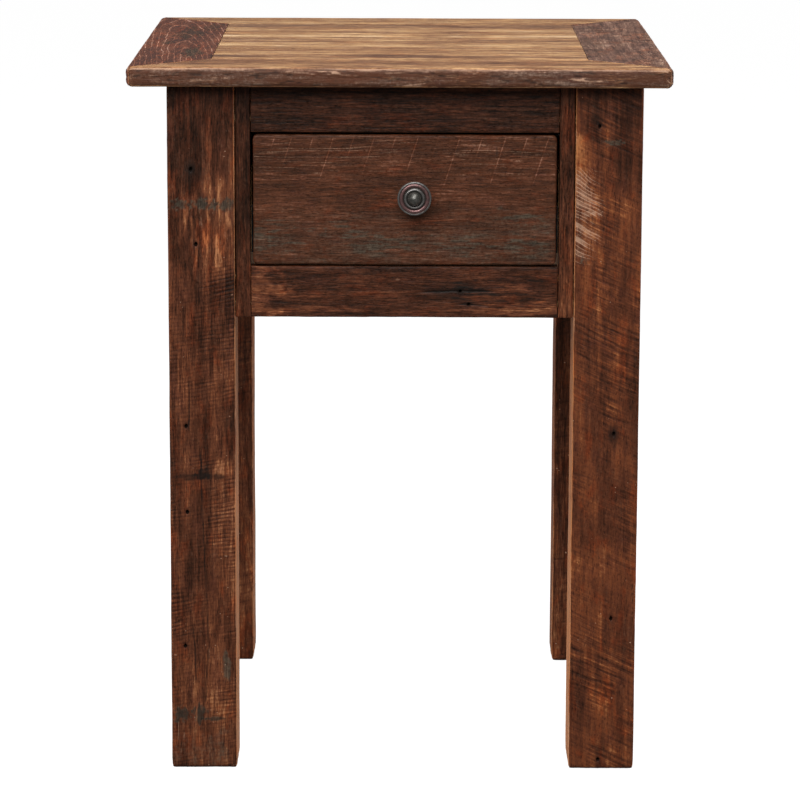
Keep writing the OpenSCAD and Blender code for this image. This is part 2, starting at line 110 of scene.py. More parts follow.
def grid_lines(low, high, step, arris, close_lines):
    """Places of the grid lines from low to high: dense over the rounded arrises and at close_lines."""
    arris_lines = arris * np.array([0, 0.3, 0.65, 1])
    even = np.linspace(low + arris, high - arris, max(2, round((high - low - 2 * arris) / step) + 1))
    lines = np.concatenate([low + arris_lines, even, high - arris_lines, close_lines])
    lines = np.unique(np.clip(lines, low, high))
    keep = [lines[0]]
    for line in lines[1:]:
        if line - keep[-1] > CLOSEST_LINES:
            keep.append(line)
    keep[-1] = high
    return np.array(keep)


def box_surface(xs, ys, zs):
    """The points and outward quads of a box's surface, with grid lines at xs, ys and zs."""
    shape = (len(xs), len(ys), len(zs))
    surface = np.zeros(shape, bool)
    for axis in range(3):
        ends = [slice(None)] * 3
        ends[axis] = [0, -1]
        surface[tuple(ends)] = True
    number = np.cumsum(surface).reshape(shape) - 1
    points = np.stack(np.meshgrid(xs, ys, zs, indexing="ij"), axis=-1)[surface]
    quads = []
    for axis, end in itertools.product(range(3), (0, -1)):
        sheet = np.take(number, end, axis=axis)
        quad = np.stack([sheet[:-1, :-1], sheet[1:, :-1], sheet[1:, 1:], sheet[:-1, 1:]], axis=-1)
        quad = quad.reshape(-1, 4)
        outward = (end == -1) != (axis == Y)
        quads.append(quad if outward else quad[:, ::-1])
    return points, np.concatenate(quads)


def eased(points, low, high, arris, corner, thickness_axis):
    """The box's surface points moved onto the same box with rounded arrises, and with corners of a larger
    radius in the plane of its faces."""
    plane = [axis for axis in range(3) if axis != thickness_axis]
    core = np.clip(points, low + arris, high - arris)
    anchor = np.clip(points[:, plane], low[plane] + corner, high[plane] - corner)
    away = points[:, plane] - anchor
    length = np.linalg.norm(away, axis=1, keepdims=True)
    reach = np.minimum(length, corner - arris)
    core[:, plane] = anchor + away / np.maximum(length, 1e-9) * reach
    outward = points - core
    return core + arris * outward / np.maximum(np.linalg.norm(outward, axis=1, keepdims=True), 1e-9)


def point_normals(points, quads):
    """Outward unit normals at the points, from the quads around each."""
    a, b, c, d = (points[quads[:, k]] for k in range(4))
    quad_normals = np.cross(c - a, d - b)
    normals = np.zeros_like(points)
    for k, axis in itertools.product(range(4), range(3)):
        normals[:, axis] += np.bincount(quads[:, k], quad_normals[:, axis], len(points))
    return normals / np.maximum(np.linalg.norm(normals, axis=1, keepdims=True), 1e-12)


def make_mesh(name, points, quads, fields):
    """A smooth-shaded mesh object from points in mm, with a named value at each point for each field."""
    mesh = bpy.data.meshes.new(name)
    mesh.vertices.add(len(points))
    mesh.vertices.foreach_set("co", (points * MM).astype(np.float32).ravel())
    mesh.loops.add(quads.size)
    mesh.loops.foreach_set("vertex_index", quads.astype(np.int32).ravel())
    mesh.polygons.add(len(quads))
    mesh.polygons.foreach_set("loop_start", np.arange(0, quads.size, 4, dtype=np.int32))
    mesh.polygons.foreach_set("use_smooth", np.ones(len(quads), bool))
    mesh.update(calc_edges=True)
    for field, values in fields.items():
        layer = mesh.attributes.new(field, "FLOAT", "POINT")
        layer.data.foreach_set("value", values.astype(np.float32))
    obj = bpy.data.objects.new(name, mesh)
    bpy.context.scene.collection.objects.link(obj)
    return obj


SIDES = {
    "left": (X, -1),
    "right": (X, 1),
    "front": (Y, -1),
    "back": (Y, 1),
    "bottom": (Z, -1),
    "top": (Z, 1),
}
NAIL_HOLE_DEPTH = 5.0
BEYOND = 1000.0  # a side set this far out for rounding keeps its arrises square


class Board:
    """One board as a fine surface in mm. height is how far each point stands proud, and the fields are
    what the wood material reads: tone (dark to bright, with painted light and shade in places), grey
    (weathering), stain (near black), raw (bare pale wood, and in places painted highlight and sheen), rings
    (growth ring count), saw (saw stroke count) and saw_depth (how strong the strokes are).
    A mark's place is given on one side of the board, as across the grain and along it."""

    def __init__(
        self, low, high, grain, arris=1.0, corner=0.0, thickness_axis=Y, square=(), close_lines=(), coarse=1.0
    ):
        self.low = np.array(low, float)
        self.high = np.array(high, float)
        self.grain = grain
        lines = []
        for axis in range(3):
            step = (STEP_ALONG if axis == grain else STEP_ACROSS) * coarse
            close = [place for line_axis, place in close_lines if line_axis == axis]
            lines.append(grid_lines(self.low[axis], self.high[axis], step, arris, close))
        flat, self.quads = box_surface(*lines)
        ease_low = self.low.copy()
        ease_high = self.high.copy()
        for axis, sign in (SIDES[name] for name in square):
            (ease_high if sign > 0 else ease_low)[axis] += sign * BEYOND
        self.rest = eased(flat, ease_low, ease_high, arris, max(corner, arris), thickness_axis)
        self.normals = point_normals(self.rest, self.quads)
        self.height = np.zeros(len(self.rest))
        self.fields = {
            name: np.zeros(len(self.rest))
            for name in ("tone", "grey", "stain", "raw_and_sheen", "rings", "saw", "saw_depth")
        }
        gaps = np.concatenate([self.rest - ease_low, ease_high - self.rest], axis=1)
        self.from_arris = np.sort(gaps, axis=1)[:, 1]

    def cell(self, across, along):
        """A noise cell that is longer along the grain."""
        cell = np.full(3, float(across))
        cell[self.grain] = along
        return cell

    def side(self, name):
        """(across, along, share): the points' places on that side, and how far each point is part of it."""
        axis, sign = SIDES[name]
        across_axis = 3 - axis - self.grain
        share = smooth_step(0.55, 0.8, self.normals[:, axis] * sign)
        return self.rest[:, across_axis], self.rest[:, self.grain], share

    def tint(self, field, amount, across, along, seed):
        """Adds soft random variation to a field, in blobs of that size."""
        self.fields[field] += amount * layered_noise(self.rest, self.cell(across, along), seed)

    def waves(self, amount, across, along, seed):
        """A surface that isn't quite flat."""
        self.height += amount * (layered_noise(self.rest, self.cell(across, along), seed) - 1)

    def ridges(self, amount, pitch, seed):
        """Hard grain standing proud of the soft grain, as on brushed or weathered wood."""
        grain = layered_noise(self.rest, self.cell(pitch, 40 * pitch), seed, layers=2)
        self.height += amount * (np.abs(grain) - 1)
        self.fields["tone"] += 0.10 * (np.abs(grain) - 0.35)

    def wear_arrises(self, depth, reach, seed, paleness=0.5):
        """Arrises rounded, dented and rubbed pale by use, unevenly along the board."""
        near = np.exp(-((self.from_arris / reach) ** 2))
        uneven = layered_noise(self.rest, self.cell(9, 26), seed, layers=4)
        bite = near * np.clip(0.45 + 0.8 * uneven, 0, 2)
        self.height -= depth * bite
        rub = np.exp(-((self.from_arris / 1.3) ** 2))
        self.fields["raw_and_sheen"] += paleness * rub * smooth_step(-0.3, 0.9, uneven)

    def saw_strokes(self, side, pitch, slope, strength, seed, depth=0.0):
        """Strokes of a rough saw across the grain. slope is their rise along the grain for each mm across,
        and strength the share of the side that shows them, or an array of it. Only coarse strokes have a
        depth here: finer ones are left to the material."""
        across, along, share = self.side(side)
        middle = across - across.mean()
        warp = 0.5 * noise(self.rest, (34, 34, 34), seed) + 0.2 * noise(self.rest, (12, 12, 12), seed + 1)
        count = (along - slope * middle) / pitch + warp
        patchy = smooth_step(-0.4, 0.6, layered_noise(self.rest, self.cell(30, 34), seed + 2))
        amount = share * strength * (0.2 + 0.8 * patchy)
        self.fields["saw"] = np.where(share > 0.5, count, self.fields["saw"])
        self.fields["saw_depth"] += amount
        self.height += depth * amount * (np.cos(2 * math.pi * count) - 1)

    def patch(
        self, field, across, along, half_across, half_along, amount, seed=0, edge=0.45, side="front"
    ):
        """A stain, or any other mark, with an outline that is more ragged for a larger edge."""
        here_across, here_along, share = self.side(side)
        cell = self.cell(max(2.5, half_across / 3), max(3.0, half_along / 2))
        ragged = edge * layered_noise(self.rest, cell, 900 + seed)
        reach = np.hypot((here_across - across) / half_across, (here_along - along) / half_along)
        self.fields[field] += amount * share * (1 - smooth_step(0.6, 1.15, reach + ragged))

    def streaks(self, field, across, along, half_across, half_along, amount, pitch, seed):
        """Fine strips along the grain within a patch of the front, such as torn or bleached fibres."""
        here_across, here_along, share = self.side("front")
        reach = np.hypot((here_across - across) / half_across, (here_along - along) / half_along)
        strips = smooth_step(-0.1, 0.6, layered_noise(self.rest, self.cell(pitch, 8 * pitch), seed))
        self.fields[field] += amount * share * strips * (1 - smooth_step(0.5, 1.1, reach))

    def band(self, field, across, half_width, amount, seed):
        """A strip along the grain of the upper side, of uneven place and strength."""
        here_across, _, share = self.side("top")
        off = 2 * layered_noise(self.rest, self.cell(400, 60), seed)
        strength = 0.8 + 0.6 * layered_noise(self.rest, self.cell(400, 100), seed + 1)
        reach = np.abs(here_across - across + off) / half_width
        self.fields[field] += amount * share * strength * (1 - smooth_step(0.4, 1.2, reach))

    def nail_hole(self, side, across, along, radius=1.5, halo=5.0):
        """A hole left by a nail, with the dark ring that its rust made."""
        here_across, here_along, share = self.side(side)
        away = np.hypot(here_across - across, (here_along - along) * 0.85)
        inside = share * (1 - smooth_step(0.75 * radius, 1.15 * radius, away))
        self.height -= NAIL_HOLE_DEPTH * inside
        self.fields["stain"] += 1.6 * inside + 0.5 * share * np.exp(-((away / halo) ** 2))

    def crack(self, side, path, width=0.75, depth=1.2):
        """A drying crack along the grain through the (along, across) points of its path."""
        here_across, here_along, share = self.side(side)
        along, across = np.array(sorted(path), float).T
        wander = 0.5 * noise(self.rest, self.cell(500, 9), 77) + 0.2 * noise(self.rest, self.cell(500, 3), 78)
        away = np.abs(here_across - np.interp(here_along, along, across) - wander)
        within = smooth_step(along[0], along[0] + 14, here_along) * (
            1 - smooth_step(along[-1] - 14, along[-1], here_along)
        )
        line = share * within * np.exp(-((away / width) ** 2))
        self.height -= depth * line
        self.fields["stain"] += 0.9 * line

    def straight_rings(self, pitch, tilt, seed):
        """Growth rings that run along the board, a little wavy."""
        across_axes = [axis for axis in range(3) if axis != self.grain]
        place = self.rest[:, across_axes[0]] + tilt * self.rest[:, across_axes[1]]
        drift = 6 * layered_noise(self.rest, self.cell(60, 260), seed)
        drift += 0.9 * pitch * layered_noise(self.rest, self.cell(2.2 * pitch, 300), seed + 7)
        self.fields["rings"] = (place + drift) / pitch

    def arched_rings(self, side, across, along, pitch_across, pitch_along, lean, seed):
        """Growth rings in nested arches around a point, as on a board sawn off centre. lean is how far the
        arches' middle line moves across for each mm along."""
        here_across, here_along, _ = self.side(side)
        wobble = 0.35 * layered_noise(self.rest, self.cell(30, 70), seed)
        middle = across + lean * (here_along - along)
        count = np.hypot((here_across - middle) / pitch_across, (here_along - along) / pitch_along)
        self.fields["rings"] = count + wobble

    def open_seam(self, distance):
        """A fine groove where a board meets its neighbour, at distance 0."""
        depth, width = 0.12, 0.5
        self.height -= depth * np.exp(-((distance / width) ** 2))

    def paint_side_sheen(self, name, amount):
        """A side painted paler: painted sheen, where light glances along it."""
        share = self.side(name)[2]
        self.fields["tone"] += amount * share
        self.fields["raw_and_sheen"] += amount * share

    def shape(self, reshape):
        """Bends the whole board with a function of its points, such as a mitre, before any wear."""
        self.rest = reshape(self.rest)
        self.normals = point_normals(self.rest, self.quads)

    def piece(self, name, body, material, slot, turn=0):
        """Makes the mesh, hides the CAD node that it stands for, and lets it ride on its body."""
        points = self.rest + self.normals * self.height[:, None]
        if turn:
            c, s = round(math.cos(math.radians(turn))), round(math.sin(math.radians(turn)))
            points = points @ np.array([[c, s, 0], [-s, c, 0], [0, 0, 1]])
        obj = make_mesh(name + "_board", points, self.quads, self.fields)
        obj.data.materials.append(material)
        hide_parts(name)
        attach(obj, body)
        return obj


def cad_box_mm(node):
    """Lowest and highest corner of a CAD node, in mm."""
    low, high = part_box(node)
    return np.array(low) / MM, np.array(high) / MM


# ---------------------------------------------------------------- materials


def srgb(red, green, blue):
    """A colour written as it looks on a screen, 0 to 255, as the shader's linear numbers."""

    def linear(value):
        share = value / 255
        return share / 12.92 if share <= 0.04045 else ((share + 0.055) / 1.055) ** 2.4

    return (linear(red), linear(green), linear(blue), 1.0)


class Graph:
    """A material's nodes. Each method adds one node and gives back its output; a number, a colour or
    another output may be given for any input. The seed shifts its noises, so that no two woods match."""

    def __init__(self, name, seed=0):
        self.material = bpy.data.materials.new(name)
        self.material.use_nodes = True
        self.tree = self.material.node_tree
        self.tree.nodes.clear()
        self.shift = np.random.default_rng(seed).uniform(-5, 5, 3)

    def node(self, kind, **inputs):
        made = self.tree.nodes.new("ShaderNode" + kind)
        for name, value in inputs.items():
            self.feed(made.inputs[name.replace("_", " ")], value)
        return made

    def feed(self, socket, value):
        if isinstance(value, bpy.types.NodeSocket):
            self.tree.links.new(value, socket)
        else:
            socket.default_value = value

    def math(self, operation, *values):
        made = self.tree.nodes.new("ShaderNodeMath")
        made.operation = operation
        for socket, value in zip(made.inputs, values):
            self.feed(socket, value)
        return made.outputs[0]

    def sum_of(self, *parts):
        """The sum of (output, weight) pairs and plain outputs."""
        total = 0.0
        for part in parts:
            term, weight = part if isinstance(part, tuple) else (part, 1.0)
            total = self.math("MULTIPLY_ADD", term, weight, total)
        return total

    def product(self, first, *others):
        for other in others:
            first = self.math("MULTIPLY", first, other)
        return first

    def range(self, value, low, high):
        """0 where value is at low, 1 where it is at high, and a smooth change between."""
        made = self.node("MapRange")
        made.interpolation_type = "SMOOTHSTEP"
        for socket, number in zip(made.inputs, (value, low, high)):
            self.feed(socket, number)
        return made.outputs["Result"]

    def line(self, count, width):
        """1 in the middle of each whole step of count, falling to 0 half a width to either side."""
        from_middle = self.math("ABSOLUTE", self.math("SUBTRACT", self.math("FRACT", count), 0.5))
        return self.range(from_middle, width / 2, 0.0)

    def mix(self, share, first, second, blend="MIX"):
        made = self.tree.nodes.new("ShaderNodeMix")
        made.data_type = "RGBA"
        made.blend_type = blend
        self.feed(made.inputs["Factor"], share)
        self.feed(made.inputs[6], first)
        self.feed(made.inputs[7], second)
        return made.outputs[2]

    def ramp(self, value, stops):
        """A colour for each value: stops are (place, colour) pairs."""
        made = self.node("ValToRGB", Fac=value)
        elements = made.color_ramp.elements
        for element, (place, colour) in zip(elements, (stops[0], stops[-1])):
            element.position = place
            element.color = colour
        for place, colour in stops[1:-1]:
            elements.new(place).color = colour
        return made.outputs["Color"]

    def noise(self, scale, stretch=(1, 1, 1), lean=(0, 0, 0), detail=3.0, roughness=0.6, distortion=0.0):
        """Noise over the surface's own place in metres, drawn out along x, y and z, then turned to lean."""
        origin = self.object_place()
        place = self.node("Mapping", Vector=origin, Scale=stretch, Rotation=lean, Location=self.shift)
        place.vector_type = "TEXTURE"
        made = self.node(
            "TexNoise",
            Vector=place.outputs["Vector"],
            Scale=scale,
            Detail=detail,
            Roughness=roughness,
            Distortion=distortion,
        )
        return made.outputs["Fac"]

    def object_place(self):
        return self.node("TexCoord").outputs["Object"]

    def by_step(self, count):
        """A random value from 0 to 1 for each whole step of count."""
        made = self.node("TexWhiteNoise")
        made.noise_dimensions = "1D"
        self.feed(made.inputs["W"], self.math("FLOOR", count))
        return made.outputs["Value"]

    def attribute(self, name):
        made = self.node("Attribute")
        made.attribute_name = name
        return made.outputs["Fac"]

    def surface(self, colour, roughness, bump_height, bump_distance, metallic=0.0, specular=0.5):
        bump = self.node("Bump", Height=bump_height, Strength=1.0, Distance=bump_distance)
        return self.principled(
            Base_Color=colour,
            Roughness=roughness,
            Metallic=metallic,
            Specular_IOR_Level=specular,
            Normal=bump.outputs["Normal"],
        )

    def principled(self, **inputs):
        """Ends the graph in a shader with these inputs, and gives back the material."""
        shader = self.node("BsdfPrincipled", **inputs)
        self.node("OutputMaterial", Surface=shader.outputs["BSDF"])
        return self.material


TONE_PLACES = (0.0, 0.28, 0.5, 0.72, 1.0)


def tones(*colours):
    """A wood's colours from its darkest to its palest, at TONE_PLACES."""
    return [(place, srgb(*colour)) for place, colour in zip(TONE_PLACES, colours)]


LEG_TONES = tones((24, 13, 7), (54, 29, 17), (80, 44, 28), (108, 62, 39), (166, 112, 74))
RED_LEG_TONES = tones((28, 15, 9), (58, 31, 19), (84, 45, 28), (112, 61, 35), (172, 112, 68))
DRAWER_TONES = tones((28, 16, 10), (50, 29, 18), (70, 40, 25), (93, 54, 36), (146, 104, 84))
GOLD_TONES = tones((80, 50, 36), (122, 84, 58), (160, 118, 82), (194, 154, 108), (230, 200, 158))
LEFT_BORDER_TONES = tones((40, 22, 18), (70, 38, 28), (98, 55, 38), (128, 78, 56), (196, 158, 138))
RIGHT_BORDER_TONES = tones((44, 28, 22), (80, 54, 44), (110, 78, 64), (142, 108, 90), (196, 166, 144))
BOX_TONES = tones((120, 84, 56), (166, 126, 86), (192, 152, 108), (208, 172, 128), (224, 194, 154))
STAIN_COLOUR = srgb(20, 17, 14)
GREY_COLOUR = srgb(58, 53, 44)
# Bare pale wood, and also the colour of the painted highlights and sheen.
RAW_AND_SHEEN_COLOUR = srgb(186, 148, 122)
WARM_TINT = (1.38, 0.86, 0.58, 1.0)
COOL_TINT = (0.85, 0.82, 1.00, 1.0)


def shaded(colour, share):
    """The colour, that much brighter or darker."""
    return tuple(min(1.0, share * value) for value in colour[:3]) + (1.0,)


def drawn_along(grain, times):
    """A stretch along the grain axis."""
    return tuple(times if axis == grain else 1 for axis in range(3))


def drawn_across(grain, times):
    """A stretch along both of the other axes."""
    return tuple(1 if axis == grain else times for axis in range(3))


def lean_of(slope, axis):
    """The turn about the axis that makes strokes rise by slope."""
    return tuple(-math.atan(slope) if turned == axis else 0.0 for turned in range(3))


def wood(
    name,
    palette,
    grain,
    seed,
    marked=True,
    base=0.5,
    streak=0.55,
    streak_length=16,
    fibre=0.7,
    thread=0.9,
    blotch=0.5,
    ring=-0.12,
    ring_width=0.35,
    stroke=0.7,
    stroke_width=0.8,
    even_strokes=False,
    scratch=0.5,
    lean=(0, 0, 0),
    specks=1.0,
    warm=0.6,
    cool=0.5,
    grey_colour=GREY_COLOUR,
):
    """Wood along one axis. base is its tone, from 0 at the dark end of its palette to 1, and streak, fibre,
    thread, blotch, ring, stroke and scratch are how far each moves it. A marked board's rings, saw strokes
    and stains come from its mesh; an unmarked one, for hidden and inner boards, has none. lean turns the fine
    scratches between the strokes."""
    g = Graph(name, seed)
    streaks = g.noise(115, drawn_along(grain, streak_length), detail=4, distortion=0.5)
    fibres = g.noise(400, drawn_along(grain, 9), detail=4, roughness=0.7)
    threads = g.noise(850, drawn_along(grain, 12), detail=2, roughness=0.7)
    blotches = g.noise(42, drawn_along(grain, 2.5), detail=4, roughness=0.65)
    hues = g.noise(66, drawn_along(grain, 2.5), detail=4, roughness=0.7, distortion=0.4)
    flecks = g.noise(330, detail=3, roughness=0.7)
    pore = g.range(g.noise(1700, drawn_along(grain, 9), detail=1), 0.60, 0.72)
    swings = ((streaks, streak), (fibres, fibre), (threads, thread), (blotches, blotch), (flecks, 0.35))
    tone = g.sum_of(base - 0.5 * sum(amount for _, amount in swings), *swings, (pore, -0.25))
    height = g.sum_of((fibres, 0.9), (streaks, 0.5), (threads, 0.4), (flecks, 0.4), (pore, -0.5))
    if marked:
        ring_line = g.product(g.line(g.attribute("rings"), ring_width), g.range(flecks, 0.2, 0.5))
        strokes = g.attribute("saw")
        patchy = g.range(blotches, 0.3, 0.5)
        stroke_line = g.product(g.line(strokes, stroke_width), patchy, g.attribute("saw_depth"))
        if not even_strokes:
            stroke_line = g.product(stroke_line, g.math("SUBTRACT", g.by_step(strokes), 0.38))
        scratches = g.noise(620, drawn_across(grain, 14), lean, detail=3, roughness=0.7)
        scratches = g.product(g.math("SUBTRACT", scratches, 0.5), g.attribute("saw_depth"))
        tone = g.sum_of(tone, g.attribute("tone"), (ring_line, ring))
        tone = g.sum_of(tone, (stroke_line, -stroke), (scratches, scratch))
        height = g.sum_of(height, (stroke_line, -1.7 * abs(stroke)), (scratches, 0.8 * scratch))
    colour = g.ramp(tone, palette)
    colour = g.mix(g.product(g.range(hues, 0.50, 0.68), warm), colour, WARM_TINT, blend="MULTIPLY")
    colour = g.mix(g.product(g.range(hues, 0.48, 0.34), cool), colour, COOL_TINT, blend="MULTIPLY")
    rough = g.sum_of(0.29, (blotches, 0.16), (fibres, 0.10))
    if marked:
        grey_share = g.sum_of(g.attribute("grey"), (flecks, 0.9), (fibres, 0.9), -0.90)
        grey_share = g.product(g.range(grey_share, 0.0, 1.0), 0.75)
        grey_light = g.range(g.sum_of((threads, 0.5), (flecks, 0.5)), 0.35, 0.65)
        weathered = g.mix(grey_light, shaded(grey_colour, 0.5), shaded(grey_colour, 2.0))
        colour = g.mix(grey_share, colour, weathered)
        # The raw field paints bare pale wood, and in places painted highlights and sheen.
        raw_and_sheen_lines = g.product(g.attribute("raw_and_sheen"), g.sum_of((ring_line, 0.9), 0.55))
        raw_and_sheen_share = g.range(g.sum_of(raw_and_sheen_lines, (fibres, 0.5), (flecks, 0.5), -0.60), 0.1, 0.9)
        speck = g.product(g.range(g.noise(420, detail=0), 0.84, 0.88), specks)
        raw_and_sheen_share = g.math("MAXIMUM", raw_and_sheen_share, speck)
        colour = g.mix(g.product(raw_and_sheen_share, 0.7), colour, RAW_AND_SHEEN_COLOUR)
        stain_share = g.sum_of(g.attribute("stain"), (fibres, 0.6), (flecks, 0.5), -0.60)
        colour = g.mix(g.product(g.range(stain_share, 0.05, 0.95), 0.92), colour, STAIN_COLOUR)
        rough = g.sum_of(rough, (grey_share, 0.25), (stain_share, 0.1))
    return g.surface(colour, rough, height, 0.0005, specular=0.1)


def metal(name, colour, worn_colour, roughness, seed, wear=0.5, metallic=1.0):
    """Bare, plated or coated metal with fine scratches, dull patches and worn spots."""
    g = Graph(name, seed)
    patches = g.noise(220, detail=4, roughness=0.65)
    scratches = g.noise(2600, drawn_along(Y, 20), detail=2)
    shade = g.mix(g.range(scratches, 0.3, 0.7), colour, shaded(colour, 0.72))
    shade = g.mix(g.range(patches, 0.62 - 0.2 * wear, 0.72), shade, worn_colour)
    rough = g.sum_of(roughness - 0.1, (patches, 0.25), (scratches, 0.08))
    height = g.sum_of((patches, 0.5), (scratches, 0.3))
    return g.surface(shade, rough, height, 0.0001, metallic=metallic)


def bronze(name, node):
    """Oil-rubbed bronze, dark on the dome, with a dull copper ring and rubbed grey on its ridges."""
    low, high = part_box(node)
    centre = (low + high) / 2
    g = Graph(name)
    from_axis = g.node(
        "Mapping", Vector=g.object_place(), Location=(-centre.x, 0, -centre.z), Scale=(1, 0, 1)
    )
    length = g.node("VectorMath")
    length.operation = "LENGTH"
    g.feed(length.inputs[0], from_axis.outputs["Vector"])
    radius = g.product(length.outputs["Value"], 1 / MM)
    patches = g.noise(420, detail=4, roughness=0.65)
    grit = g.noise(2400, detail=2)
    ridge = g.product(g.range(radius, 7.0, 7.6), g.range(radius, 9.9, 9.3))
    copper = g.product(g.range(radius, 10.1, 10.7), g.range(radius, 14.4, 13.8))
    rim = g.range(radius, 14.2, 14.8)
    copper_share = g.product(copper, g.range(patches, 0.2, 0.55))
    grey_share = g.product(g.math("MAXIMUM", ridge, rim), g.range(patches, 0.2, 0.5))
    colour = g.ramp(patches, [(0.35, srgb(62, 63, 59)), (0.65, srgb(98, 95, 90))])
    colour = g.mix(g.product(grey_share, 0.8), colour, srgb(106, 102, 100))
    colour = g.mix(g.product(copper_share, 0.85), colour, srgb(112, 78, 77))
    rough = g.sum_of(0.24, (patches, 0.12), (grit, 0.08))
    height = g.sum_of((patches, 0.7), (grit, 0.3))
    return g.surface(colour, rough, height, 0.00012, metallic=0.75)


def rubber(name):
    """Dark moulded rubber with a fine dull grain."""
    g = Graph(name)
    grit = g.noise(3000)
    colour = g.ramp(g.noise(300), [(0.3, srgb(24, 24, 25)), (0.7, srgb(46, 45, 44))])
    return g.surface(colour, g.sum_of(0.7, (grit, 0.2)), grit, 0.0001)


# ---------------------------------------------------------------- the top

TOP_HALF = 254.0
TOP_INNER = 178.0
TOP_CORNER = 11.0
TOP_ARRIS = 5.0
PLANK_JOINTS = (-76.54, 24.92)  # where the three planks meet, front to back


def mitred(points):
    """A border board's points with its ends cut at 45 degrees and the table's corner rounded in plan."""
    made = points.copy()
    out = -made[:, Y]
    made[:, X] *= out / TOP_HALF
    sign = np.sign(made[:, X])
    corner = np.stack([np.abs(made[:, X]), out], axis=1) - (TOP_HALF - TOP_CORNER)
    in_corner = (corner > 0).all(axis=1)
    reach = corner[in_corner].max(axis=1)
    turned = corner[in_corner] / np.linalg.norm(corner[in_corner], axis=1)[:, None] * reach[:, None]
    made[in_corner, X] = sign[in_corner] * (TOP_HALF - TOP_CORNER + turned[:, 0])
    made[in_corner, Y] = -(TOP_HALF - TOP_CORNER + turned[:, 1])
    return made


def border_board():
    """A border board as it lies at the front, with its outer arrises rounded and its ends mitred."""
    low, high = cad_box_mm("top_border_front")
    board = Board(
        (-TOP_HALF, -TOP_HALF, low[Z]),
        (TOP_HALF, -TOP_INNER, high[Z]),
        X,
        arris=TOP_ARRIS,
        thickness_axis=Z,
        square=("left", "right", "back"),
        close_lines=[(X, sign * (TOP_HALF - gap)) for sign in (-1, 1) for gap in (0.5, 1.2)],
    )
    board.shape(mitred)
    out = -board.rest[:, Y]
    to_mitre = (out - np.abs(board.rest[:, X])) / math.sqrt(2)
    board.open_seam(np.minimum(np.maximum(to_mitre, 0), out - TOP_INNER))
    return board


def weather_edge(board, seed, dark):
    """The outer edge of a border board: dark and grey, with torn fibres showing pale in it, and a painted
    highlight along its upper arris."""
    _, _, edge = board.side("front")
    pale = layered_noise(board.rest, board.cell(1.9, 14), seed, layers=3)
    board.fields["tone"] -= dark * edge
    board.fields["raw_and_sheen"] += 0.72 * edge * smooth_step(0.0, 0.7, pale)
    board.fields["stain"] += 0.70 * edge * smooth_step(-0.05, 0.7, -pale)
    board.fields["grey"] += edge * (0.15 + 0.45 * layered_noise(board.rest, board.cell(4, 40), seed + 1))
    board.height -= 0.35 * edge * (1 - pale)
    # Painted highlight: the upper arris is painted pale where gloss would catch the light from above.
    painted_arris_highlight = smooth_step(0.2, 0.5, board.normals[:, Z]) * smooth_step(0.97, 0.8, board.normals[:, Z])
    board.fields["raw_and_sheen"] += 0.85 * painted_arris_highlight
    board.fields["tone"] -= 0.05 * painted_arris_highlight


def front_border():
    """The front border: tan on top, with a dark, weathered outer edge."""
    board = border_board()
    board.straight_rings(5, 0.4, 21)
    board.tint("tone", 0.14, 5, 90, 22)
    board.band("tone", -196, 9, -0.16, 27)
    board.band("tone", -215, 10, -0.14, 28)
    board.band("tone", -236, 6, 0.12, 29)
    board.waves(0.25, 20, 120, 23)
    # Paler arrises than on the other borders: partly rubbed wear, partly a painted highlight along the top
    # front arris.
    board.wear_arrises(0.7, 2.0, 24, paleness=0.9)
    weather_edge(board, 25, dark=0.5)
    return board


def back_border():
    """The back border: streaked tan like the planks, and its outer edge dark."""
    board = border_board()
    board.straight_rings(5, 0.5, 31)
    board.tint("tone", 0.16, 6, 90, 32)
    board.tint("grey", 0.25, 10, 90, 36)
    board.band("tone", -200, 12, 0.12, 37)
    board.band("tone", -238, 8, -0.10, 38)
    board.waves(0.25, 20, 120, 33)
    board.wear_arrises(0.7, 2.0, 34, paleness=0.7)
    weather_edge(board, 35, dark=0.4)
    return board


def left_border():
    """The left border: red brown with pale growth rings in nested arches and dark weathered patches. It is
    made as the front board and turned, so its along is the table's back to front."""
    board = border_board()
    board.arched_rings("top", -198, 190, 5.5, 75, 0.08, 41)
    board.tint("tone", 0.12, 8, 60, 42)
    board.fields["tone"] -= 0.05
    board.waves(0.25, 20, 120, 43)
    board.wear_arrises(0.7, 2.0, 44, paleness=0.4)
    for across, along, half_across, half_along, amount in (
        (-213, -80, 16, 60, 0.5),
        (-192, -140, 10, 40, 0.45),
        (-198, 110, 9, 46, 0.75),
        (-228, 20, 6, 16, 0.6),
    ):
        board.patch("grey", across, along, half_across, half_along, amount, seed=45, edge=0.8, side="top")
        board.patch("tone", across, along, half_across, half_along, -0.16, seed=45, edge=0.8, side="top")
    weather_edge(board, 46, dark=0.22)
    return board


def right_border():
    """The right border: rough, grey brown and cross-cut by fine saw strokes."""
    board = border_board()
    board.straight_rings(7, 0.5, 51)
    board.tint("tone", 0.20, 6, 24, 52)
    board.fields["grey"] += 0.12
    board.tint("grey", 0.35, 16, 60, 53)
    board.saw_strokes("top", 3.2, 0.25, 1.0, 54)
    board.waves(0.25, 20, 120, 55)
    board.ridges(0.2, 2.2, 56)
    board.wear_arrises(0.7, 2.0, 57, paleness=0.6)
    weather_edge(board, 58, dark=0.1)
    return board


